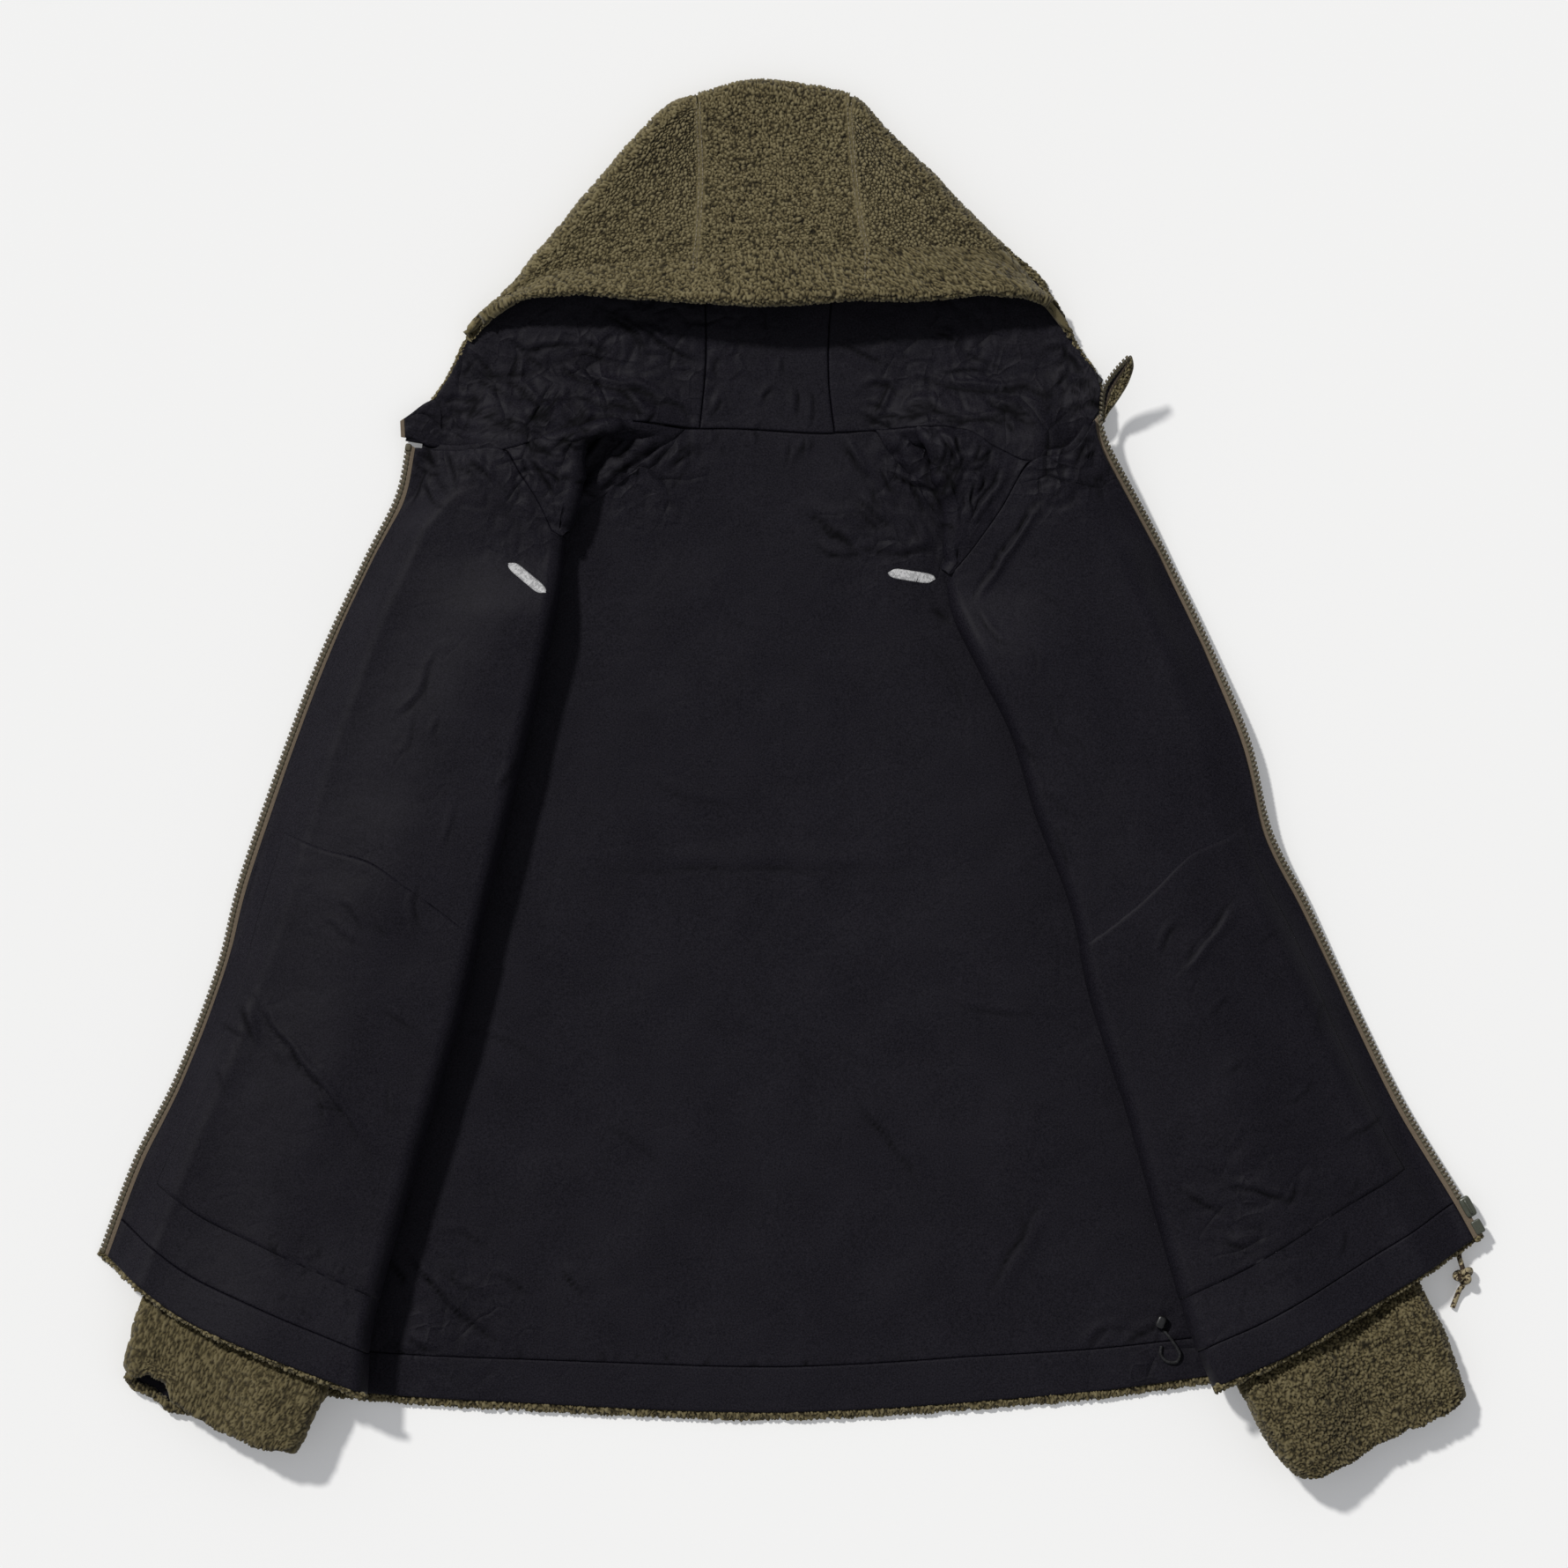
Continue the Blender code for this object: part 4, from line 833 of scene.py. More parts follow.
class Finish:
    """A material. The Principled shader's constant sockets are set by name."""

    def __init__(self, name, **constants):
        self.material = bpy.data.materials.new(name)
        self.material.use_nodes = True
        self.tree = self.material.node_tree
        self.shader = self.tree.nodes["Principled BSDF"]
        self.finish(**constants)

    def join(self, value, socket):
        if isinstance(value, Value):
            self.tree.links.new(value.socket, socket)
        else:
            socket.default_value = value

    def add(self, kind, inputs=(), output=0, stops=(), **settings):
        """One node of this kind, with its settings, then the values or links of its sockets."""
        node = self.tree.nodes.new("ShaderNode" + kind)
        for name, value in settings.items():
            setattr(node, name, value)
        for k, (place, colour) in enumerate(stops):
            elements = node.color_ramp.elements
            element = elements[k] if k < 2 else elements.new(place)
            element.position, element.color = place, (*colour, 1)
        for socket, value in dict(inputs).items():
            self.join(value, node.inputs[socket])
        return Value(self, node.outputs[output])

    def where(self):
        return self.add("TexCoord", output="Object")

    def attribute(self, name):
        return self.add("Attribute", output="Fac", attribute_name=name)

    def mix(self, share, a, b):
        """Colour a where share is 0 and b where it is 1."""
        a, b = (c if isinstance(c, Value) else (*c, 1) for c in (a, b))
        return self.add("Mix", {0: share, 6: a, 7: b}, output=2, data_type="RGBA", clamp_factor=True)

    def noise(self, where, scale, detail=2.0, roughness=0.5):
        inputs = {"Vector": where, "Scale": scale, "Detail": detail, "Roughness": roughness}
        return self.add("TexNoise", inputs)

    def bump(self, height, strength, distance, under=None):
        inputs = {"Height": height, "Strength": strength, "Distance": distance}
        if under is not None:
            inputs["Normal"] = under
        return self.add("Bump", inputs)

    def finish(self, **sockets):
        """Sets or joins the shader's sockets, and returns the material."""
        for socket, value in sockets.items():
            self.join(value, self.shader.inputs[socket.replace("_", " ")])
        return self.material


def wrinkle_lines(f, where, moved, scale, slope, fading):
    """Sharp lines between cells of this scale, which come and go."""
    inputs = {"Vector": moved, "Scale": scale}
    apart = f.add("TexVoronoi", inputs, feature="DISTANCE_TO_EDGE", voronoi_dimensions="2D")
    lines = (1 - slope * apart).maths("MAXIMUM", 0.0) ** 1.6
    return lines * (3.2 * f.noise(where, fading, 1) - 1.2).maths("MAXIMUM", 0.0)


def nylon_finish(name, dark, light):
    """Close plain weave with a dull sheen and slubs, finely wrinkled where its crumple is high, and darkened
    toward near-black with painted shade along its creases, crumple valleys and wrinkle lines.
    """
    f = Finish(name, Specular_IOR_Level=0.09)
    where, crumple, crack_and_shade = f.where(), f.attribute("crumple"), f.attribute("crack_and_shade")
    cloudy, slubs = f.noise(where, 26, 3), f.noise(where, 860, 2, 0.75)
    bent = f.add("TexNoise", {"Vector": where, "Scale": 22.0, "Detail": 2.0}, output="Color")
    away = f.add("VectorMath", {0: bent, "Scale": 0.022}, operation="SCALE")
    moved = f.add("VectorMath", {0: where, 1: away}, operation="ADD")
    folds = wrinkle_lines(f, where, moved, 27.0, 11.0, 31)
    fine = wrinkle_lines(f, where, moved, 66.0, 6.0, 47)
    wrinkles = (0.45 * fine - 1.0 * folds) * crumple
    inputs = {"Vector": where, "Scale": 480.0, "Distortion": 0.4}
    warp, weft = (f.add("TexWave", inputs, output=1, bands_direction=way) for way in "XY")
    normal = f.bump(wrinkles, 1.0, 0.0019)
    normal = f.bump(warp * weft, 0.12, 0.0002, f.bump(slubs, 0.25, 0.0002, normal))
    colour = f.mix(0.4 * cloudy + 2.0 * slubs - 0.7, dark, light)
    # painted shade: the creases' attribute and the wrinkle lines darken the colour
    colour = f.mix(0.8 * crack_and_shade + 0.4 * folds * crumple, colour, CREASE_SHADE_COLOUR)
    return f.finish(Base_Color=colour, Roughness=0.52 + 0.12 * slubs + 0.3 * crack_and_shade, Normal=normal)


def fleece_finish(name, modelled):
    """Curly pile: painted shade in the gaps and painted light on the curls' tops, with random tone of the
    fibres. modelled reads the curls from the mesh; otherwise they are drawn here at the same size."""
    f = Finish(name, Roughness=0.95, Specular_IOR_Level=0.03, Sheen_Weight=0.12, Sheen_Roughness=0.6)
    where = f.where()
    if modelled:
        pile, normal = f.attribute("pile"), None
    else:
        near = f.add("TexVoronoi", {"Vector": where, "Scale": 1 / (CURL * MM)})
        # painted shade towards each cell's edge, painted light at its middle
        pile = (1.05 - 1.1 * near) * (0.8 + 0.4 * f.noise(where, 220, 2))
        normal = f.bump(pile, 0.7, 0.0014)
    fibres = f.noise(where, 1500, 3, 0.7)
    patchy, each = f.noise(where, 45, 2), f.noise(where, 330, 1)
    tone = pile + 0.36 * (fibres - 0.5) + 0.16 * (patchy - 0.5) + 0.2 * (each - 0.5)
    stops = ((0.0, GAP_SHADE_COLOUR), (1.0, LIT_TIP_COLOUR), (0.45, CURL_COLOUR))
    colour = f.add("ValToRGB", {"Fac": tone}, stops=stops)
    return f.finish(Base_Color=colour, Normal=f.bump(fibres, 0.5, 0.0006, normal))


def uneven_finish(name, colour, spread, noise, bump, gloss=None, **constants):
    """One colour, uneven by the spread either way, as woven tape or moulded plastic is. gloss is the
    middle of an uneven roughness."""
    f = Finish(name, **constants)
    rough = f.noise(f.where(), *noise)
    dark, light = (tuple(share * c for c in colour) for share in spread)
    links = {} if gloss is None else {"Roughness": gloss - 0.1 + 0.2 * rough}
    return f.finish(Base_Color=f.mix(rough, dark, light), Normal=f.bump(rough, *bump), **links)


def tape_finish(name, colour):
    constants = {"Roughness": 0.8, "Specular_IOR_Level": 0.2}
    return uneven_finish(name, colour, (0.6, 1.35), (900, 3, 0.7), (0.5, 0.0004), **constants)


def moulded_finish(name, colour, gloss):
    look = (0.75, 1.25), (420, 3, 0.6), (0.15, 0.0003), gloss
    return uneven_finish(name, colour, *look, Specular_IOR_Level=0.5)


def cord_finish(name, dark, light):
    """Braid flecked with two yarns."""
    f = Finish(name, Roughness=0.7, Specular_IOR_Level=0.3)
    where = f.where()
    cells = f.add("TexVoronoi", {"Vector": where, "Scale": 650.0}, output="Color")
    flecks = f.add("SeparateColor", {"Color": cells}).maths("GREATER_THAN", 0.5)
    normal = f.bump(f.noise(where, 1800, 2), 0.5, 0.0004)
    return f.finish(Base_Color=f.mix(flecks, dark, light), Normal=normal)


# Near-black of the painted shade in the nylon's creases
CREASE_SHADE_COLOUR = (0.0008, 0.0008, 0.0010)
# The fleece's colours: painted shade in the gaps between curls, the curls' own colour, and painted light on
# their tips.
GAP_SHADE_COLOUR = (0.0075, 0.0056, 0.0024)
CURL_COLOUR = (0.0965, 0.078, 0.0375)
LIT_TIP_COLOUR = (0.186, 0.157, 0.085)
NYLON = nylon_finish("Nylon", (0.0012, 0.0008, 0.0028), (0.0142, 0.0130, 0.0184))
# A darker copy of the nylon for the pockets: painted shade against the light on the fronts' rise.
SHADED_POCKET_NYLON = nylon_finish("Shaded pocket nylon", (0.0011, 0.0007, 0.0026), (0.0137, 0.0125, 0.0177))
CURLS = fleece_finish("Fleece curls", True)
FLEECE = fleece_finish("Fleece", False)
TAPE = tape_finish("Zip tape", (0.135, 0.105, 0.075))
TEETH = moulded_finish("Zip teeth", (0.075, 0.064, 0.038), 0.5)
SLIDER_METAL = moulded_finish("Slider enamel", (0.055, 0.06, 0.045), 0.28)
BLACK = moulded_finish("Black plastic", (0.006, 0.006, 0.007), 0.35)
CORD = cord_finish("Flecked cord", (0.035, 0.022, 0.012), (0.30, 0.25, 0.15))
THREAD = cord_finish("Thread", (0.09, 0.075, 0.05), (0.22, 0.19, 0.135))
SATIN = cord_finish("Satin stitch", (0.36, 0.36, 0.37), (0.52, 0.52, 0.53))
BLACK_CORD = cord_finish("Black cord", (0.004, 0.004, 0.005), (0.012, 0.012, 0.014))


# Cords and small parts --------------------------------------------------------------------------


def circle_frames(line):
    """Two unit directions square to a line at each of its points; the line is never upright."""
    ahead = unit(np.gradient(line, axis=0))
    beside = unit(np.cross(ahead, UP))
    return beside, np.cross(beside, ahead)


def cord_rings(line, radius, columns=16):
    """Circles about the line, raised along two families of spirals like the strands of a braid."""
    angle, twist = circle(columns)[None], run_of(line)[:, None] / radius * 1.1
    braid = np.maximum(np.sin(4 * angle + 4 * twist), np.sin(4 * angle - 4 * twist))
    r = (radius * (0.95 + 0.07 * braid))[..., None]
    return line[:, None] + r * ovals(*circle_frames(line), columns)


def backing(piece, line, half_width=3.4):
    """A flat strip inside the cloth's thickness that closes the gap along a seam."""
    line = spaced(line, np.linspace(0, 1, STRIP_POINTS))
    piece.tube(line[:, None] + ovals(*circle_frames(line), 8, half_width, 0.5))


def turned(points, place):
    """Points about the origin, turned to a small part's heading and moved to its place."""
    angle = math.radians(place["heading"])
    c, s = math.cos(angle), math.sin(angle)
    return points @ np.array([[c, s, 0], [-s, c, 0], [0, 0, 1]]) + np.array(place["at"])


def build_cords():
    """The slider's cord, which runs past the hem into its knot and on to a short tail, and the loop of
    the hem's drawcord."""
    t = circle(120)
    bulk = [KNOT_BULK * size - PULL_CORD_DIAMETER for size in KNOT["size"]]
    x = (np.sin(t) + 1.7 * np.sin(2 * t)) * bulk[0] / 5.0
    y = (np.cos(t) - 1.7 * np.cos(2 * t)) * bulk[1] / 4.6
    loop = turned(np.column_stack([x, y, -np.sin(3 * t) * bulk[2] / 2.4]), KNOT)
    ahead = unit(np.roll(loop, -1, axis=0) - np.roll(loop, 1, axis=0))
    beside = unit(np.cross(ahead, unit(loop - np.array(KNOT["at"]))))
    radius = PULL_CORD_DIAMETER / 2 * 1.15
    rings = loop[:, None] + ovals(beside, np.cross(beside, ahead), 14, radius, radius)
    knot = Piece("pull_cord_knot_braid", "pull_cord", CORD).tube(rings, closed=True).make("pull_cord_knot")
    line = curve(np.array(PULL_CORD), 90)
    cord = Piece("pull_cord_braid", "pull_cord", CORD).tube(cord_rings(line, PULL_CORD_DIAMETER / 2))
    cord = cord.make("pull_cord", "pull_cord_tail")

    line = curve(np.array(HEM_CORD), 80)
    cord = Piece("hem_cord_loop_braid", "black_plastic", BLACK_CORD)
    cord = cord.tube(cord_rings(line, HEM_CORD_DIAMETER / 2, 12)).make("hem_cord_loop")


def block(place, power, rows=14, columns=24):
    """Rings of a block with round corners, where |x/a|^p + |y/b|^p + |z/c|^p = 1 on its own half sizes;
    power 2 is an ellipsoid and a higher one is squarer."""
    v = np.linspace(-math.pi / 2, math.pi / 2, rows + 2)[1:-1, None]
    u = circle(columns)[None]
    parts = [np.cos(v) + 0 * u, np.sin(v) + 0 * u, 0 * v + np.cos(u), 0 * v + np.sin(u)]
    cv, sv, cu, su = (np.sign(p) * np.abs(p) ** (2 / power) for p in parts)
    return turned(np.stack([cv * cu, cv * su, sv], axis=-1) * np.array(place["size"]) / 2, place)


def build_small_parts():
    """Zip slider with its bridge, retainer box, top stops and the hem's cord lock."""
    parts = [
        ("zip_slider", "enamel", "zip_slider", SLIDER_METAL, SLIDER, (5, 20, 32)),
        ("zip_retainer_box", "enamel", "zip_slider", SLIDER_METAL, RETAINER_BOX, (7, 20, 32)),
        ("zip_top_stop_right", "moulded", "zip_teeth", TEETH, TOP_STOP["right"], (4,)),
        ("zip_top_stop_left", "moulded", "zip_teeth", TEETH, TOP_STOP["left"], (4,)),
        ("hem_cord_lock", "moulded", "black_plastic", BLACK, CORD_LOCK, (3.5, 18, 28)),
    ]
    for node, make, slot, finish, place, shape in parts:
        piece = Piece(f"{node}_{make}", slot, finish).tube(block(place, *shape))
        if place is SLIDER:
            _, length, height = SLIDER["size"]
            arch = np.linspace(0, math.pi, 24)
            y, z = -length * 0.33 * np.cos(arch), height * 0.45 + 1.5 * np.sin(arch)
            piece.tube(cord_rings(turned(np.column_stack([0 * arch, y, z]), SLIDER), 0.9, 10))
        piece.make(node)


# Heights ----------------------------------------------------------------------------------------


def sleeve_base(side, plan, early=0.0):
    """Height under a sleeve: the floor, climbing onto the pleat where the two cross. early is how far
    before the pleat the climb starts."""
    x, y = plan[..., 0], plan[..., 1]
    fold = FOLD_LINE[side]
    inside = SIGN[side] * (x_at(y, fold, fold["x"] + SIGN[side] * fold["pleat"]) - x)
    climb = ramp(inside, (PLEAT_CLIMB[0] - early, PLEAT_CLIMB[1]))
    return PLEAT_TOP * climb * ramp(fold["y"][0] - y, FOLD_TOP_CLIMB)


def sleeve_thickness(y):
    return 2 * CLOTH + CUFF_HOLLOW + (HOLLOW - CUFF_HOLLOW) * ramp(y, CUFF_CLIMB)


def front_height(side, plan, lift):
    """Mid-height of a front: on the floor at its zip, over the sleeve and its pleat further in."""
    x, y = plan[..., 0], plan[..., 1]
    edge = x_at(y, SLEEVE_OUTER[side])
    start = np.minimum(FRONT_RISE[0], 0.9 * (8 - np.abs(x_at(y, ZIP_LINE[side]) - edge)))
    rise = smooth((SIGN[side] * (edge - x) - start) / (FRONT_RISE[1] - start))
    over_sleeve = sleeve_base(side, plan, EARLY_CLIMB) + sleeve_thickness(y) + SLEEVE_CLEARANCE
    return CLOTH / 2 + lift * (1 - rise) + over_sleeve * rise


def hood_height(plan, near_brim):
    """Mid-height of the hood's folded-over layer: lowest at its outline, highest at the brim's middle."""
    share = np.clip(np.abs(plan[..., 0] - HOOD_MIDDLE) / HOOD_HALF_WIDTH, 0, 1)
    middle = np.cos(share * math.pi / 2)
    swell = HOOD_SWELL * middle**0.5 * smooth(1.6 * near_brim - 0.6)
    return HOOD_EDGE_HEIGHT + (HOOD_MOUTH_HEIGHT - HOOD_EDGE_HEIGHT) * middle * near_brim + swell


def foot_height(side, plan):
    """Mid-height of the hood's lower layer, which the sleeve heads lift near the neck seam, and the
    chin flap at the left corner."""
    x, y = plan[..., 0] * SIGN[side], plan[..., 1]
    across = ramp(x, SHOULDER_INNER) * (1 - ramp(x, SHOULDER_OUTER[side]))
    corner = 13 * np.exp(-(((x - 224) / 24) ** 2) - ((y - 688) / 26) ** 2) if side == "left" else 0.0
    return CLOTH / 2 + SHOULDER_LIFT * across * (1 - ramp(y, SHOULDER_TOP)) + corner


# Fronts and back --------------------------------------------------------------------------------

LENGTH = 640.0  # of a front, the back and a sleeve, for spacing their points
FRONT_WIDTH = 205.0
FRONT_ROUND = 15  # points round the fold
FRONT_LOWER = 5  # points under it
ZIP_TOP_LIFT = 16.0
EARLY_CLIMB = 45.0
POCKET_ROUND = 9  # of the fold's points that the pocket reaches past
BACK_GRIDS = (2.8, 2.7)
CASING_SHARE = CASING / LENGTH
CASING_RELIEF = 0.6
HEMMED = ("foot", "head", "first")
SURFACE = {}  # the outer faces that something is sewn on


class FrontPlan:
    """One front's edges, shared by the panel, its hem casing, its pocket and its zip."""

    def __init__(self, side):
        self.side = side
        zip_line, fold = ZIP_LINE[side], FOLD_LINE[side]
        self.zip_edge = curve(np.column_stack([zip_line["x"], zip_line["y"], zip_line["lift"]])[::-1], FINE)
        if side == "left":
            self.zip_edge[:, 2] += ZIP_TOP_LIFT * smooth((np.linspace(0, 1, FINE) - 0.80) / 0.17)
        self.fold_edge = curve(np.column_stack([fold["x"], fold["y"], fold["pleat"]])[::-1], FINE)
        self.zip_width = CHAIN_WIDTH + TAPE_SHOWING + 2 * LAYER_GAP

    def rows(self, up):
        """Zip edge, fold edge, the direction from fold to zip, the zip edge's lift and the pleat."""
        zip_edge, fold_edge = at_shares(self.zip_edge, up), at_shares(self.fold_edge, up)
        inward = unit(zip_edge[:, :2] - fold_edge[:, :2])
        return zip_edge[:, :2], fold_edge[:, :2], inward, zip_edge[:, 2], fold_edge[:, 2]

    def top_layer(self, up, across):
        """Plan and mid-height of the upper layer between the zip tape and the fold's round."""
        zip_edge, fold_edge, inward, lift, _ = self.rows(np.linspace(0, 1, FINE))
        left = zip_edge - inward * self.zip_width
        right = fold_edge + inward * (FOLD_REACH + CLOTH / 2)
        hem = fitted(at_shares(drawn(FRONT_HEM[self.side]), across), left[0], right[0])
        top = fitted(at_shares(drawn(FRONT_TOP[self.side]), across), left[-1], right[-1])
        plan = coons(hem, top, left, right, across)
        return at_shares(with_height(plan, front_height(self.side, plan, lift[:, None])), up)

    def profile(self, up, across):
        """The front from the zip over its fold and back out to the pleat's crease."""
        upper = self.top_layer(up, across)
        _, fold_edge, inward, _, pleat = self.rows(up)
        under = np.full(len(up), UNDER_LAYER)
        round_turn = turn(fold_edge, inward, FOLD_REACH, under, upper[:, -1, 2], FRONT_ROUND)
        start = fold_edge + inward * (FOLD_REACH + CLOTH / 2)
        reach = np.maximum(pleat - FOLD_REACH - CLOTH / 2 - 0.8, 1.0)[:, None, None]
        lower = start[:, None] + inward[:, None] * reach * np.linspace(0, 1, FRONT_LOWER)[None, :, None]
        return np.concatenate([upper, round_turn, with_height(lower, UNDER_LAYER)], axis=1)


def nylon_wall(piece, mid, relief, ends, finishes=(0, 1, 0)):
    """Cloth whose upper side is nylon: half its thickness and the relief out from the middle, eased
    down at the named ends; its other side stays smooth."""
    normals = facing_up(mid, (mid.shape[0] // 2, mid.shape[1] // 3))
    face = mid + normals * (CLOTH / 2 + relief - rounded(edge_distance(mid, ends)))[..., None]
    piece.cloth(face, mid - normals * CLOTH / 2, finishes=finishes)
    return face, normals


def nylon_panel(node, mid, relief, ends, lines, strips=()):
    """A panel with its nylon side up, and the strips that close the seams at its edges."""
    panel = Piece(f"{node}_cloth", "nylon", NYLON, FLEECE, lines=lines)
    face, normals = nylon_wall(panel, mid, relief, ends)
    for strip in strips:
        backing(panel, *strip)
    lay_sheet(panel.make(node), mid)
    return face, normals


def build_front(side):
    """The panel, its hem casing, and the pocket that is stitched through to its nylon side."""
    plan = FrontPlan(side)
    across = stations(FRONT_WIDTH, NYLON_GRID, 1, high=False)
    count = len(across)
    count += -(count - 1 + FRONT_ROUND + FRONT_LOWER) % STEP
    across = np.concatenate([across[:4], np.linspace(across[4], 1, count - 4)])
    up = PANEL_FOOT + (1 - PANEL_FOOT) * stations(LENGTH * (1 - PANEL_FOOT), NYLON_GRID, STEP)
    mid = plan.profile(up, across)
    lines, sleeve = CREASES[side], f"sleeve_{side}"
    fade = np.ones(mid.shape[1])
    fade[count:] = np.linspace(1, 0, mid.shape[1] - count)
    relief = nylon_relief(mid, lines, 20 + SIGN[side]) * fade
    seam, top = (plan.profile(np.array([share]), across)[0, :count] for share in (PANEL_FOOT, 1.0))
    strips = [(seam,), (top[6:] - 0.6 * UP, 4.5)]
    face, normals = nylon_panel(f"front_{side}", mid, relief, HEMMED, lines, strips)
    SURFACE[f"front_{side}"] = face[:, :count]

    casing = plan.profile(stations(CASING, NYLON_GRID, STEP) * PANEL_FOOT, across)
    relief = nylon_relief(casing, [], 30 + SIGN[side]) * fade * CASING_RELIEF
    nylon_panel(f"front_{side}_hem_casing", casing, relief, HEMMED, ())

    row = np.searchsorted(up, POCKET_UP)
    column = np.searchsorted(across, POCKET_ACROSS) + [0, POCKET_ROUND]
    part = tuple(slice(start, start + trimmed(end - start)) for start, end in (row, column))
    flat, out = face[part], normals[part]
    lift = 0.9 - rounded(edge_distance(flat, ("foot", "head", "first", "last")), 0.8)
    pocket = Piece(f"pocket_{side}_cloth", "nylon", SHADED_POCKET_NYLON, lines=lines)
    pocket.cloth(flat + out * lift[..., None], flat + out * 0.05, finishes=(0, 0, 0))
    lay_sheet(pocket.make(f"pocket_{side}"), flat)


def back_plan(u, v):
    """Plan of the whole back between the two pleats' creases, at shares v of its height."""
    crease, raglan = {}, {}
    for side, sign in SIGN.items():
        fold = FOLD_LINE[side]
        crease[side] = curve(np.column_stack([fold["x"] + sign * fold["pleat"], fold["y"]])[::-1], FINE)
        raglan[side] = drawn(BACK_RAGLAN[side], 30)
    right, left = crease["right"], crease["left"]
    neck = drawn(BACK_NECK, 30)[1:-1]
    top = np.vstack([right[-1:], raglan["right"], neck, raglan["left"][::-1], left[-1:]])
    hem = spaced(drawn(BACK_HEM), u)
    right, left = fitted(right, hem[0], right[-1]), fitted(left, hem[-1], left[-1])
    return at_shares(coons(hem, spaced(top, u), right, left, u), v)


def build_back():
    """The panel and its hem casing."""
    u = stations(LENGTH, BACK_GRIDS[0], STEP)
    v = CASING_SHARE + (1 - CASING_SHARE) * stations(LENGTH - CASING, BACK_GRIDS[1], STEP)
    mid = with_height(back_plan(u, v), CLOTH / 2)
    seam = back_plan(np.linspace(0, 1, STRIP_POINTS), np.array([CASING_SHARE]))[0]
    neck = points_of(BACK_NECK)
    neck = curve(np.vstack([neck[0] + [-14, 0.5], neck, neck[-1] + [14, 0]]), STRIP_POINTS)
    strips = [(with_height(seam, CLOTH / 2),), (with_height(neck, CLOTH / 2 + 0.4), 5.0)]
    for side in SIGN:
        line = drawn(BACK_RAGLAN[side], STRIP_POINTS)
        strips.append((with_height(line, sleeve_base(side, line) + CLOTH / 2),))
        line = drawn(HOOD_SEAM_LOWER[side], STRIP_POINTS, 0.3, 1)
        strips.append((with_height(line, CLOTH / 2),))
    lines, ends = CREASES["back"], ("foot", "head")
    relief = nylon_relief(mid, lines, 41)
    SURFACE["back"] = nylon_panel("back_panel", mid, relief, ends, lines, strips=strips)[0]
    casing = with_height(back_plan(u, CASING_SHARE * stations(CASING, 1.6, STEP)), CLOTH / 2)
    relief = nylon_relief(casing, [], 44) * CASING_RELIEF
    nylon_panel("back_hem_casing", casing, relief, ends, ())


# Sleeves ----------------------------------------------------------------------------------------

CUFF_LENGTH = 98.0
CUFF_START = CUFF_LENGTH / LENGTH
HEM_PRESS = 4.0  # how far a front's hem presses into the cuff
SLEEVE_ROUND = 26
# A cuff's curls: their size, grain and wander, their tone's floor and span, and their height. The
# right cuff is brushed, and gapes.
CUFF_CURLS = {
    "right": ((1.8, (0.25, 0.86, 0.0), 1.2), (0.10, 0.60), 0.8),
    "left": ((2.5, (0, 0, 0), 1.6), (0.02, 0.76), 1.0),
}
GAPING = "right"


def sleeve_ring(side, shares, upper_columns, lower_columns):
    """The flattened tube below the point where the raglan seams part, as rings from the cuff up."""
    outer = spaced(drawn(SLEEVE_OUTER[side], FINE, 0, 0.88), shares)
    inner = spaced(drawn(SLEEVE_INNER[side]), shares)
    inward = unit(inner - outer)
    from_edge = ROUND_REACH + CLOTH / 2
    start, end = outer + inward * from_edge, inner - inward * from_edge
    grids = []
    for columns in (upper_columns, lower_columns):
        u = np.linspace(0, 1, columns)
        mouth = fitted(spaced(drawn(CUFF[side]), u), start[0], end[0])
        top = start[-1] + (end[-1] - start[-1]) * u[:, None]
        grids.append(coons(mouth, top, start, end, u, shares))
    upper, lower = grids
    low = sleeve_base(side, lower) + CLOTH / 2
    high = sleeve_base(side, upper) + sleeve_thickness(upper[..., 1]) - CLOTH / 2
    outer_turn = turn(outer, inward, ROUND_REACH, low[:, 0], high[:, 0], SLEEVE_ROUND)
    inner_turn = turn(inner, -inward, ROUND_REACH, low[:, -1], high[:, -1], SLEEVE_ROUND)
    around = [with_height(upper, high)[:, ::-1], outer_turn, with_height(lower, low), inner_turn[:, ::-1]]
    return np.concatenate(around, axis=1)


def outward_normals(mid):
    """Normals of a ring grid, turned away from its middle."""
    normals = grid_normals(mid, ring=True)
    centre = mid.mean(axis=1, keepdims=True)
    row = mid.shape[0] // 2
    return normals * np.sign(((mid - centre) * normals)[row].sum())


def sleeve_axes(mid):
    """The level directions up the sleeve from the cuff's mouth, and across it."""
    axis = unit((mid[-1] - mid[0]).mean(axis=0) * [1, 1, 0])
    return axis, np.array([axis[1], -axis[0], 0.0])


def cuff_shift(mid, normals, along, gaping):
    """How far the cuff's end is drawn up the sleeve: 5 s^8 at its corners, where s runs from -1 to 1
    across it, an uneven 2, and on a gaping cuff 9.5 more on the upper layer in one place."""
    across = mid @ sleeve_axes(mid)[1]
    low, high = across.min(axis=1, keepdims=True), across.max(axis=1, keepdims=True)
    s = 2 * (across - low) / (high - low) - 1
    shift = 5 * np.abs(s) ** 8 * smooth(1 - along / 20) + 2.0 * drift(mid, 9, 77) * smooth(1 - along / 14)
    if gaping:
        place = np.exp(-(((s + 0.66) / 0.19) ** 4)) * smooth((normals[..., 2] + 0.1) / 0.4)
        shift = shift + 9.5 * place * smooth(1 - along / 24)
    return shift


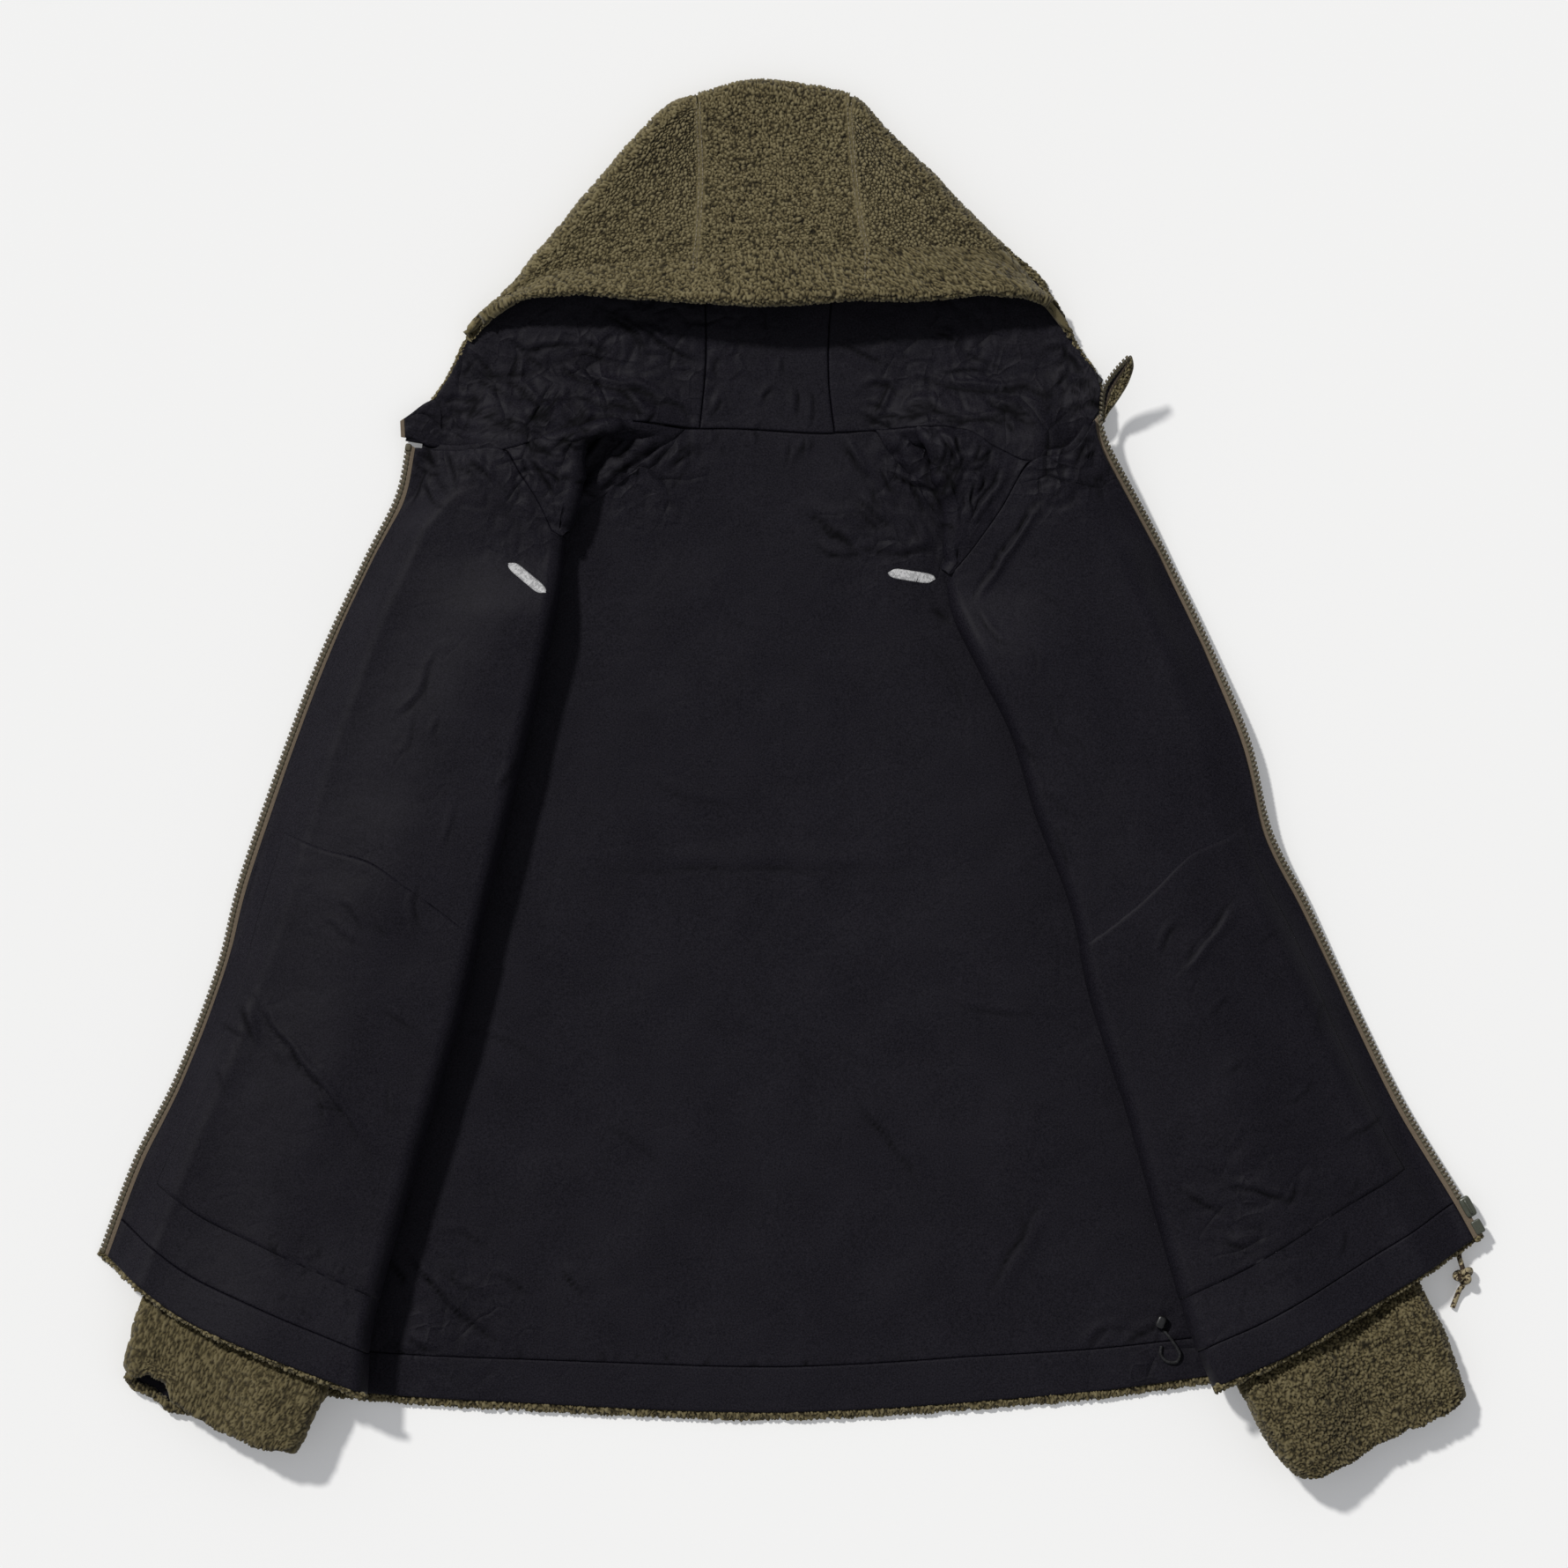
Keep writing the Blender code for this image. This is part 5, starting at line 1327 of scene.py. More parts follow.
def build_lip(sleeve, mid, normals, grain):
    """The fleece edge of the lower layer, a bead which shows where the cuff gapes and is drawn in
    elsewhere."""
    axis, across = sleeve_axes(mid)
    mouth = mid[0][normals[0, :, 2] < -0.3]
    mouth = mouth[np.argsort(mouth @ across)]
    share = np.linspace(0, 1, 170)
    line = spaced(mouth, share) + axis * (7 * smooth((share - 0.3) / 0.2) - 2)[:, None] + 2.6 * UP
    lip = cord_rings(line, 3.2, 24)
    height, tone = pile_on(lip, 79, 2.2, grain)
    lip = lip + unit(lip - line[:, None]) * (0.7 * PILE * (height - 0.5) + 0.5 * drift(lip, 6, 80))[..., None]
    sleeve.tube(lip, pile=0.8 * tone)


def build_cuff(side, sleeve):
    """The stretch that shows below the front, with its curls."""
    mid = sleeve_ring(side, CUFF_START * stations(CUFF_LENGTH, PILE_GRID, STEP, high=False), 132, 32)
    mid = mid[:, : mid.shape[1] - mid.shape[1] % STEP]
    normals = outward_normals(mid)
    curls, (floor, span), curl_height = CUFF_CURLS[side]
    pile, tone = pile_on(mid + normals * CLOTH / 2, 71 + SIGN[side], *curls)
    along = edge_distance(mid, ("foot",))
    lumps = 1.6 * drift(mid, 21, 75) + 1.1 * drift(mid, 9, 76)
    hem = drawn(FRONT_HEM[side], 60)
    beside = nearest(mid[..., :2].reshape(-1, 2), hem)[0].reshape(mid.shape[:-1])
    pressed = HEM_PRESS * np.exp(-((beside / 10) ** 2)) * (normals[..., 2] > 0.3)
    lift = CLOTH / 2 - rounded(along, 3.4) + lumps * smooth(along / 5) + curl_height * PILE * (pile - 0.5)
    gaping = side == GAPING
    shift = cuff_shift(mid, normals, along, gaping) - 1.6 * (pile - 0.3) * smooth(1 - along / 5)
    mid = mid + shift[..., None] * sleeve_axes(mid)[0]
    back = mid - normals * (CLOTH / 2 - 0.2 + pressed)[..., None]
    face = mid + normals * (lift - pressed)[..., None]
    sleeve.cloth(face, back, ring=True, pile=floor + span * tone)
    if gaping:
        build_lip(sleeve, mid, normals, curls[1])


def build_sleeve(side):
    """The cuff, the stretch under the front, and the head that opens out at the neck."""
    lines = CREASES[f"head_{side}"] + CREASES["back"]
    sleeve = Piece(f"sleeve_{side}_cloth", "fleece", CURLS, NYLON, FLEECE, lines=lines)
    build_cuff(side, sleeve)
    rest = sleeve_ring(side, np.linspace(CUFF_START, 1, 61), 25, 13)
    rest = rest[:, : rest.shape[1] - rest.shape[1] % 2]
    half = outward_normals(rest) * CLOTH / 2
    sleeve.cloth(rest + half, rest - half, 1, ring=True, finishes=(2, 1, 2))
    build_back_head(side, sleeve)
    build_front_head(side, sleeve)
    whole = sleeve_ring(side, np.linspace(0, 1, 61), 25, 25)
    lay_sheet(sleeve.make(f"sleeve_{side}"), whole, ring=True)


def build_back_head(side, sleeve):
    """The back half of the opened-out sleeve, which runs to the back's raglan seam in a puffed
    ridge."""
    u, v = stations(110.0, HEAD_GRID, STEP), stations(95.0, HEAD_GRID, STEP)
    outer = spaced(drawn(SLEEVE_OUTER[side], FINE, 0.86, 1), v)
    raglan = spaced(drawn(BACK_RAGLAN[side]), v)
    foot = outer[0] + (raglan[0] - outer[0]) * u[:, None]
    neck = fitted(spaced(drawn(SLEEVE_NECK[side]), u), outer[-1], raglan[-1])
    plan = coons(foot, neck, outer, raglan, u, v)
    flat = with_height(plan, sleeve_base(side, plan) + CLOTH / 2)
    from_seam, from_neck = edge_distance(flat, ("last",)), edge_distance(flat, ("head",))
    flat[..., 2] += HEAD_PUFF * np.exp(-(((from_seam - 12) / 9) ** 2)) * smooth(from_neck / 12)
    visible = 1 - ramp(SIGN[side] * plan[..., 0], (105, 125))
    flat[..., 2] += (foot_height(side, plan) - flat[..., 2]) * smooth(1 - from_neck / 16) * visible
    relief = head_relief(flat, CREASES["back"] + CREASES[f"head_{side}"], 14, 90 + SIGN[side])
    nylon_wall(sleeve, flat, relief, ("last", "head"), finishes=(1, 2, 1))


def build_front_head(side, sleeve):
    """The front half, which runs from the front's raglan seam over to a rolled rim."""
    sign = SIGN[side]
    v, u = stations(90.0, 1.4, STEP), stations(75.0, 1.4, 1, high=False)
    top = FrontPlan(side).profile(np.array([1.0]), np.linspace(0, 1, FINE))[0, : FINE + 8, :2]
    seam = top[np.linalg.norm(top - points_of(FRONT_TOP[side])[2], axis=1).argmin() :][::-1]
    rim = points_of(SLEEVE_RIM[side])
    rim[0] = seam[0] + np.array([-sign * 0.6, 0.4])
    seam, rim = spaced(seam, v), spaced(curve(rim, FINE), v)
    foot = seam[0] + (rim[0] - seam[0]) * u[:, None]
    neck = drawn(HOOD_FOOT[side])
    inside = (sign * (neck[:, 0] - rim[-1, 0]) > 0) & (sign * (neck[:, 0] - seam[-1, 0]) < 0)
    neck = fitted(spaced(neck[inside], u), seam[-1], rim[-1])
    plan = coons(foot, neck, seam, rim, u, v)
    radius = (RIM_ROUND - (RIM_ROUND - 2.0) * smooth((v - 0.75) / 0.25))[:, None]
    beyond = unit(rim - plan[:, -6])
    room = np.linalg.norm(rim - seam, axis=1)[:, None]
    back_off = beyond * np.minimum(radius + CLOTH / 2, 0.9 * room)
    plan = plan - back_off[:, None] * (u**2)[None, :, None]
    rim = rim - back_off
    across = u[None] * smooth(v / 0.3)[:, None]
    height = front_height(side, plan, 0.0) + 2.5 * across * (1 - smooth((v - 0.8) / 0.2))[:, None]
    height += (foot_height(side, plan) - height) * smooth((v - 0.85) / 0.15)[:, None]
    angle = np.linspace(0, math.pi, 18)[1:]
    roll = rim[:, None] + beyond[:, None] * (radius * np.sin(angle))[..., None]
    rolled = with_height(roll, height[:, -1:] - radius * (1 - np.cos(angle)))
    inner = rim[:, None] - beyond[:, None] * np.linspace(2, 14, 6)[None, :, None]
    inner = with_height(inner, height[:, -1:] - 2 * radius)
    mid = np.concatenate([with_height(plan, height), rolled, inner], axis=1)
    mid = mid[:, : trimmed(mid.shape[1])]
    normals = facing_up(mid, (len(v) // 2, 3))
    relief = head_relief(mid, CREASES[f"head_{side}"], 13, 95 + sign) * (normals[..., 2] > 0)
    drop = rounded(edge_distance(mid, ("first", "head")))
    face = mid + normals * (CLOTH / 2 + relief - drop)[..., None]
    sleeve.cloth(face, mid - normals * CLOTH / 2 * 0.3, finishes=(1, 1, 1))


# Hood -------------------------------------------------------------------------------------------

SEAM_GAP = 0.25  # between the hood's panels
FOLDED_SHARES = np.linspace(0, 1, 17)  # of the lower layer, above the fold's end
FOOT_LENGTH = 95.0
EDGE_FOLDED = 31
HOOD_CUTS = {"side": (0.262, 0.300), "center": (0.118, 0.375), "brim": 0.052}


def hood_edges(side, away, folded, foot):
    """A side panel's outline and its upper and lower seams, at shares down the folded stretch and
    on down to the foot."""
    shift = np.array([SIGN[side] * away, 0])
    upper = spaced(drawn(HOOD_SEAM_UPPER[side]), folded) + shift
    high, low = (drawn(HOOD_SEAM_LOWER[side], FINE, *part) for part in ((0, 0.5), (0.5, 1)))
    lower = np.vstack([spaced(high, folded), spaced(low, foot)[1:]]) + shift
    outline = spaced(drawn(HOOD_OUTLINE[side]), folded)
    edge = np.vstack([outline, spaced(drawn(HOOD_SIDE[side]), foot)[1:]])
    return edge, upper, lower


def stitch_lines():
    """The two outer seams of the hood, over the crown and across the brim's casing."""
    lines = []
    for side, sign in SIGN.items():
        upper = drawn(HOOD_SEAM_UPPER[side], STRIP_POINTS)
        lines.append(np.vstack([upper[:1] + [0, 8.0], upper, upper[-1:] + [-0.3 * sign, -25.0]]))
    return lines


def hood_pile(mid, cell, ends=("head",), reach=0.6, bead=1.0):
    """The folded-over layer's middle surface with the lie of thick fleece, its normals, its face, the
    curls' tone and how much of the pile stands: less of it at a seam and beside the topstitching.
    The ends are rounded over the reach."""
    normals = facing_up(mid, cell)
    pile, tone = pile_on(mid + normals * CLOTH / 2, 131)
    flat = mid[..., :2].reshape(-1, 2)
    stitched = np.minimum(*(nearest(flat, line)[0] for line in stitch_lines())).reshape(mid.shape[:-1])
    stands = 0.6 + 0.4 * smooth(edge_distance(mid, ("head",)) / 1.5)
    stands = np.minimum(stands, 0.3 + 0.7 * smooth((stitched - 1.2) / 3.0))
    drop = rounded(edge_distance(mid, ends), reach)
    mid = mid + normals * waves(mid)[..., None]
    face = mid + normals * (CLOTH / 2 - drop + bead * PILE * (pile - 0.5) * stands)[..., None]
    return mid, normals, face, tone, stands


def hood_layer(panel, mid, cell):
    """Adds the folded-over layer to a panel, and returns its middle surface."""
    mid, normals, face, tone, stands = hood_pile(mid, cell)
    panel.cloth(face, mid - normals * CLOTH / 2, pile=tone * stands + 0.72 * (1 - stands))
    return mid


def build_hood_side(side):
    folded = stations(140.0, 0.86, STEP)
    count = len(folded)
    edge, upper, lower = hood_edges(side, -0.2, folded, np.linspace(0, 1, 2))
    edge, lower = edge[:count], lower[:count]
    inward = unit(lower - edge)
    start = edge + inward * (ROUND_REACH + CLOTH / 2)
    over = between(start, upper, stations(125.0, PILE_GRID, 1, low=False)[::-1])
    over = with_height(over, hood_height(over, folded[:, None]))
    round_turn = turn(edge, inward, ROUND_REACH, np.full(count, CLOTH / 2), over[:, -1, 2], 24)
    folded_over = np.concatenate([over, round_turn], axis=1)
    panel = Piece(f"hood_side_{side}_cloth", "fleece", CURLS, NYLON, FLEECE, lines=CREASES["hood"])
    hood_layer(panel, folded_over[:, : trimmed(folded_over.shape[1])], (count // 2, 5))

    foot = stations(FOOT_LENGTH, LAYER_GRID, STEP, low=False)
    edge, _, lower = hood_edges(side, SEAM_GAP, FOLDED_SHARES, foot)
    past = len(FOLDED_SHARES) - 1
    showing = np.concatenate([np.full(past, 9.25), edge_showing(foot)])
    start = edge + unit(lower - edge) * showing[:, None]
    u = stations(210.0, LAYER_GRID, STEP)
    flat = between(start, lower, u)
    pull = spaced(drawn(HOOD_FOOT[side]), u) - flat[-1]
    pull[0] = 0
    flat = flat + smooth(np.concatenate([np.zeros(past), foot]))[:, None, None] * pull
    mid = with_height(flat, foot_height(side, flat))
    relief = nylon_relief(mid, CREASES["hood"], 150 + SIGN[side])
    nylon_wall(panel, mid, relief, ("head", "last", "first"), finishes=(1, 2, 1))
    cut, area = HOOD_CUTS["side"], cut_of(mid)[1] + cut_of(folded_over)[1]
    panel.make(f"hood_side_{side}")
    min(area, cut[0] * cut[1])


def center_edges(folded, foot):
    """The upper and the lower seams of the centre panel, right and left."""
    _, uppers, lowers = zip(*(hood_edges(side, -SEAM_GAP, folded, foot) for side in SIGN))
    return uppers, lowers


def build_hood_center():
    folded, t = stations(105.0, 0.78, 1), stations(112.0, 0.82, STEP)
    over = between(*center_edges(folded, np.linspace(0, 1, 2))[0], t)
    crown = spaced(drawn(CROWN), t)
    bow = crown[:, 1] - np.interp(crown[:, 0], crown[[0, -1], 0], crown[[0, -1], 1])
    over[..., 1] += bow * (1 - folded[:, None]) ** 4
    height = hood_height(over, folded[:, None])
    down = np.tile([0.0, -1.0], (len(t), 1))
    edge = over[0] - down * (CROWN_REACH + CLOTH / 2)
    round_turn = turn(edge, down, CROWN_REACH, np.full(len(t), CLOTH / 2), height[0], 30)
    mid = np.concatenate([round_turn.transpose(1, 0, 2)[::-1], with_height(over, height)])
    panel = Piece("hood_center_cloth", "fleece", CURLS, NYLON, FLEECE, lines=CREASES["hood"])
    for side in SIGN:
        line = drawn(HOOD_SEAM_UPPER[side], STRIP_POINTS)
        line = with_height(line, hood_height(line, np.linspace(0, 1, STRIP_POINTS)))
        line[:, 2] += waves(line) + 1.0
        backing(panel, np.vstack([line[0] + [0, 12.6, -8], line[0] + [0, 9.5, -3], line]), 2.6)
    mid = hood_layer(panel, mid[len(mid) - trimmed(len(mid)) :], (-5, 5))

    foot, narrow = stations(FOOT_LENGTH, LAYER_GRID, STEP, low=False), stations(90.0, LAYER_GRID, STEP)
    under = between(*center_edges(FOLDED_SHARES, foot)[1], narrow)
    bow = np.interp(narrow, np.linspace(0, 1, len(bow)), bow)
    share = np.concatenate([FOLDED_SHARES, 1 + foot[1:]])[:, None] / 2
    under[..., 1] += bow * (1 - share) ** 4
    neck = drawn(BACK_NECK)
    dip = np.interp(under[-1, :, 0], neck[:, 0], neck[:, 1]) + 0.3 - under[-1, :, 1]
    under[..., 1] += dip * smooth(2 * share - 1)
    low_mid = with_height(under, CLOTH / 2)
    relief = nylon_relief(low_mid, CREASES["hood"], 170)
    nylon_wall(panel, low_mid, relief, ("head", "first", "last"), finishes=(1, 2, 1))
    cut, area = HOOD_CUTS["center"], cut_of(mid)[1] + cut_of(low_mid)[1]
    panel.make("hood_center")
    min(area, cut[0] * cut[1])


def build_hood_brim():
    """The brim's casing closes the folded-over layer: it rolls under along the mouth, and its ends
    come down to the hood's outline."""
    t = stations(420.0, PILE_GRID, STEP)
    seam = points_of(BRIM_SEAM) - [0, 0.1]
    tips = []
    for side, end in (("right", 0), ("left", -1)):
        outline = drawn(HOOD_OUTLINE[side])
        lowest = BRIM_EDGE["y"][end] + 8
        tips.append(outline[(outline[:, 1] < seam[end, 1] - 3) & (outline[:, 1] > lowest)][::6])
    seam = spaced(np.vstack([tips[0][::-1], curve(seam, 80), tips[1]]), t)
    edge = spaced(drawn(BRIM_EDGE), t)
    edge = edge + unit(seam - edge) * (CLOTH / 2 + BRIM_ROLL - 1.0)
    v = stations(27.0, PILE_GRID, 1, low=False)[:, None, None]
    plan = (1 - v) * edge[None] + v * seam[None]
    away = np.minimum(t, 1 - t)
    standing = smooth(away / BRIM_END_SHARE)
    standing = standing + (1 - standing) * (v[..., 0] * smooth(away / 0.03)) ** 1.5
    full = hood_height(plan, 1.0) + BRIM_LIFT * (1 - v[..., 0])
    low = CLOTH / 2 + HOOD_EDGE_CLOTH + LAYER_GAP
    top = with_height(plan, low + (full - low) * standing)
    angle = np.radians(np.linspace(-95, 85, 18))[:, None, None]
    round_edge = np.cos(angle) * level(unit(edge - seam))[None] + np.sin(angle) * UP
    mid = np.concatenate([top[:1] - BRIM_ROLL * UP + BRIM_ROLL * round_edge, top])
    mid = mid[len(mid) - trimmed(len(mid)) :]
    rows = np.arange(len(mid))[:, None]
    bead = 0.9 + 0.1 * smooth(rows / 26)
    mid, normals, face, tone, _ = hood_pile(mid, (-5, 100), ("head", "first", "last"), 1.2, bead)
    inward = np.where(rows < len(mid) - len(top), 1.2, CLOTH / 2)[..., None]
    brim = Piece("hood_brim_cloth", "fleece", CURLS, NYLON)
    # the brim's fleece a little darker: painted shade against the light on its raised slope
    brim.cloth(face, mid - normals * inward, pile=0.94 * tone, finishes=(0, 0, 0))
    line = top[-1] + waves(top[-1])[:, None] * UP
    backing(brim, line[30:-30], 3.2)
    brim.make("hood_brim")
    cut_of(top)[0][0]


def edge_showing(foot):
    """How much of the casing's fleece shows beside the nylon: most of it below the brim, little at
    the zip."""
    return 9.0 - 7.6 * smooth(np.asarray(foot) / 0.45)


def build_hood_edge(side):
    """The brim's casing runs on down the outline of the lower layer, from the brim to the zip, as a
    bead half covered by the nylon."""
    foot = np.linspace(0, 1, 140)
    edge, _, lower = hood_edges(side, SEAM_GAP, np.linspace(0.72, 1, EDGE_FOLDED), foot)
    inward = unit(lower - edge)
    half = edge_showing(np.concatenate([np.zeros(EDGE_FOLDED - 1), foot]))[:, None] / 2 + 1.2
    run = run_of(edge)
    raised = 9.0 * smooth((run[EDGE_FOLDED - 1] - run + 20) / 18)
    line = with_height(edge + inward * half, foot_height(side, edge) - 0.2 + raised)
    around = ovals(level(inward), UP[None], 30, half[:, None], HOOD_EDGE_CLOTH / 2)
    rings = line[:, None] + around
    pile, tone = pile_on(rings, 191 + SIGN[side])
    rings = rings + unit(around) * (PILE * (pile - 0.5) + 0.5 * drift(rings, 6, 195))[..., None]
    strip = Piece(f"hood_edge_{side}_cloth", "fleece", CURLS).tube(rings, pile=tone)
    girth = np.linalg.norm(np.diff(rings, axis=1), axis=-1).sum(axis=1).mean() * MM / 2
    flat = max(girth, LEAST_WIDTH), cut_of(rings[:, ::15])[0][1]
    strip.make(f"hood_edge_{side}")


# Zip --------------------------------------------------------------------------------------------

PITCH = 3.45
TOOTH_PROFILE = ((-1.3, 0.82), (-0.95, 1.0), (0.95, 1.0), (1.3, 0.82))
TOOTH_HALF = ((-2.0, -0.95), (0.2, -0.95), (0.6, -0.6), (1.2, -1.15), (2.1, -1.0))
FOLDED_END = {"right": 0, "left": 15}  # rows of the zip's top that its flap carries


def build_zip(side):
    """Tape beside the front's edge, and the row of moulded teeth along it."""
    plan = FrontPlan(side)
    zip_edge, _, inward, lift, _ = plan.rows(np.linspace(0, 1, 321))
    across = np.linspace(CHAIN_WIDTH * 0.3, plan.zip_width + 1.2, 7)[None, :, None]
    mid = with_height(zip_edge[:, None] - inward[:, None] * across, (lift + CLOTH / 2)[:, None])
    tape = Piece(f"zip_tape_{side}_woven", "zip_tape", TAPE)
    tape.cloth(mid + 0.45 * UP, mid - 0.45 * UP, 1, finishes=(0, 0, 0)).make(f"zip_tape_{side}")

    line = with_height(zip_edge - inward * CHAIN_WIDTH / 2, lift + CLOTH / 2)
    teeth = Piece(f"zip_chain_{side}_teeth", "zip_teeth", TEETH)
    start = FOLDED_END[side]
    lay_teeth(teeth, line[start:], level(inward)[start:])
    teeth.make(f"zip_chain_{side}")


def lay_teeth(piece, line, outwards):
    """Moulded teeth a pitch apart along a line, each a small T in plan with bevelled faces, and the
    bead that they grip."""
    total = run_of(line)[-1]
    shares = (np.arange(int(total / PITCH)) + 0.5) * PITCH / total
    at, out = spaced(line, shares), unit(spaced(outwards, shares))
    ahead = unit(np.gradient(at, axis=0))
    above = unit(np.cross(out, ahead))
    above *= np.sign(above[:, 2:])
    half = np.array(TOOTH_HALF)
    outline = np.vstack([half, half[::-1] * [1, -1]])
    rings = np.array(
        [np.column_stack([outline * inset, np.full(len(outline), z)]) for z, inset in TOOTH_PROFILE]
    )
    for place, *basis in zip(at, out, ahead, above):
        piece.tube(rings @ np.array(basis) + place)
    piece.tube(cord_rings(line - unit(outwards) * 1.3, 1.0, 6))


# The chin flap's rows that are nylon, then tape, then fleece, and its finishes
FLAP_GRID = (21, 61)
FLAP_BANDS = ((8, 21, (0, 1, 0)), (5, 9, (2, 1, 1)), (0, 6, (1, 1, 1)))
FLAP_HALF = 1.2


def patch(low_line, high_line, rows, columns):
    """A grid between two lines of points, each a smooth curve."""
    low, high = (curve(np.array(line, float), columns) for line in (low_line, high_line))
    t = np.linspace(0, 1, rows)[:, None, None]
    return (1 - t) * low[None] + t * high[None]


def build_chin_flap():
    """At the left zip's top the front stands up in a leaf, with the zip's end along its edge."""
    rows, columns = FLAP_GRID
    flap = patch(FLAP_EDGE, FLAP_BACK, rows, columns)
    across = np.linspace(0, 1, rows)[:, None]
    flap[..., 2] -= 2.2 * np.sin(math.pi * across) * np.sin(math.pi * np.linspace(0, 1, columns))
    normals = facing_up(flap, (10, 20))
    pile, tone = pile_on(flap, 201, 2.4)
    drop = rounded(edge_distance(flap, ("foot", "head", "last")), 1.2)
    fleece = smooth((across - 0.38) / 0.1) * (0.5 + PILE * (pile - 0.4))
    face, back = flap + normals * (FLAP_HALF - drop + fleece)[..., None], flap - normals * FLAP_HALF
    piece = Piece("chin_flap_left_cloth", "fleece", CURLS, NYLON, TAPE)
    for start, end, finishes in FLAP_BANDS:
        shown = tone[start:] if finishes[0] == 0 else None
        piece.cloth(face[start:end], back[start:end], 1, pile=shown, finishes=finishes)
    piece.make("chin_flap_left")
    teeth = Piece("chin_flap_teeth", "zip_teeth", TEETH)
    lay_teeth(teeth, curve(np.array(FLAP_EDGE), columns) + UP, np.tile([-0.5, 0.38, 0.78], (columns, 1)))
    teeth.make()


def build_chin_tab():
    """The right front's corner lies folded at its zip's top, with its tape turned back."""
    corner = patch(TAB_LOW, TAB_HIGH, 25, 41)
    corner[..., 2] += TAB_HEIGHT
    relief = 0.5 * drift(corner, 7, 230) + 0.25 * drift(corner, 3.5, 231)
    drop = rounded(edge_distance(corner, ("first", "last", "head", "foot")), 1.6)
    piece = Piece("chin_tab_right_cloth", "nylon", NYLON, TAPE)
    piece.cloth(corner + UP * (1.6 - drop + relief)[..., None], corner - UP * 2.2, finishes=(0, 0, 0))
    tape = corner[:, :5] + UP * 2.0
    piece.cloth(tape, tape - UP * 1.2, 1, finishes=(1, 1, 1))
    lay_sheet(piece.make("chin_tab_right"), corner)


# Edging, stitches and bars ----------------------------------------------------------------------


def edging(name, line, reach, thickness, seed):
    """A bead of curls along a hem, where the fleece stands past the nylon."""
    line = spaced(line, np.linspace(0, 1, int(run_of(line)[-1] / PILE_GRID)))
    around = ovals(*circle_frames(line), 16, reach, thickness)
    rings = line[:, None] + around
    pile, tone = pile_on(rings, seed)
    uneven = 0.9 * drift(line, 7, seed + 5)[:, None]
    rings = rings + unit(around) * (PILE * (pile - 0.5) + uneven)[..., None]
    Piece(name, "fleece", CURLS).tube(rings, pile=tone).make()


def build_edgings():
    hem = drawn(BACK_HEM) - [0, 1.4]
    edging("back_hem_fleece", with_height(hem, 2.3), 3.6, 1.9, 211)
    for side in SIGN:
        hem = drawn(FRONT_HEM[side]) - [0, 0.2]
        height = front_height(side, hem + [0, 0.2], FrontPlan(side).zip_edge[0, 2])
        edging(f"front_{side}_hem_fleece", with_height(hem, height - 1.2), 2.0, 1.6, 221)


def resting(points, surface, proud=0.15):
    """The points set down on a face: each takes the middle height of the face's three points that
    are nearest in plan."""
    flat = surface.reshape(-1, 3)
    middle = points[:, :2].mean(axis=0)
    reach = np.linalg.norm(points[:, :2] - middle, axis=1).max() + 4
    flat = flat[np.linalg.norm(flat[:, :2] - middle, axis=1) < reach]
    far = ((points[:, None, :2] - flat[None, :, :2]) ** 2).sum(axis=-1)
    closest = np.sort(flat[np.argsort(far, axis=1)[:, :3], 2], axis=1)[:, 1]
    return with_height(points[:, :2], closest + proud)


def threads(piece, starts, ends, radius):
    """A short rounded thread from each start to each end."""
    for a, b in zip(starts, ends):
        ahead = unit(b - a)
        beside = unit(np.cross(ahead, UP))
        ring = radius * ovals(beside[None], np.cross(beside, ahead)[None], 6, 1.0, 0.7)[0]
        shape = ((0.0, 0.35), (0.12, 0.9), (0.5, 1.1), (0.88, 0.9), (1.0, 0.35))
        piece.tube(np.array([a + (b - a) * t + ring * r for t, r in shape]))


def build_stitches():
    """Two rows of topstitching along each outer seam of the hood."""
    piece = Piece("hood_topstitching", "fleece", THREAD)
    for line in stitch_lines():
        height = hood_height(line[:-1], np.append(0.0, np.linspace(0, 1, STRIP_POINTS)))
        height = np.append(height, height[-1] + 0.8 * BRIM_LIFT)
        line = spaced(np.column_stack([line, height + CLOTH / 2 + 0.1]), np.linspace(0, 1, 90))
        line[:, 2] += waves(line) + 0.3
        beside, _ = circle_frames(line)
        for offset in (-1.25, 1.25):
            row = line + beside * offset
            total = run_of(row)[-1]
            starts = np.arange(0, total - 3.0, 3.3) / total
            threads(piece, spaced(row, starts), spaced(row, starts + 2.7 / total), 0.34)
    piece.make()


BARS = {"front_right": ((-173, 577), -40), "back": ((91, 579), -9)}
BAR_HALF = (15.5, 3.6)


def build_bars():
    """A plain bar of satin stitches on the back and on a front, close to the pleats' tops."""
    piece = Piece("satin_bars", "pull_cord", SATIN)
    for name, (centre, heading) in BARS.items():
        angle = math.radians(heading)
        ahead = np.array([math.cos(angle), math.sin(angle), 0.0])
        across = np.array([-ahead[1], ahead[0], 0.0])
        t = np.linspace(-1, 1, 56)
        half = BAR_HALF[1] * np.clip(1 - np.abs(t) ** 6, 0.05, 1) ** 0.5
        middle = np.array([*centre, 0]) + ahead * t[:, None] * BAR_HALF[0]
        slant = across * half[:, None] + ahead * 0.9
        threads(piece, *(resting(middle + k * slant, SURFACE[name]) for k in (-1, 1)), 0.4)
    piece.make()


# Light and camera -------------------------------------------------------------------------------

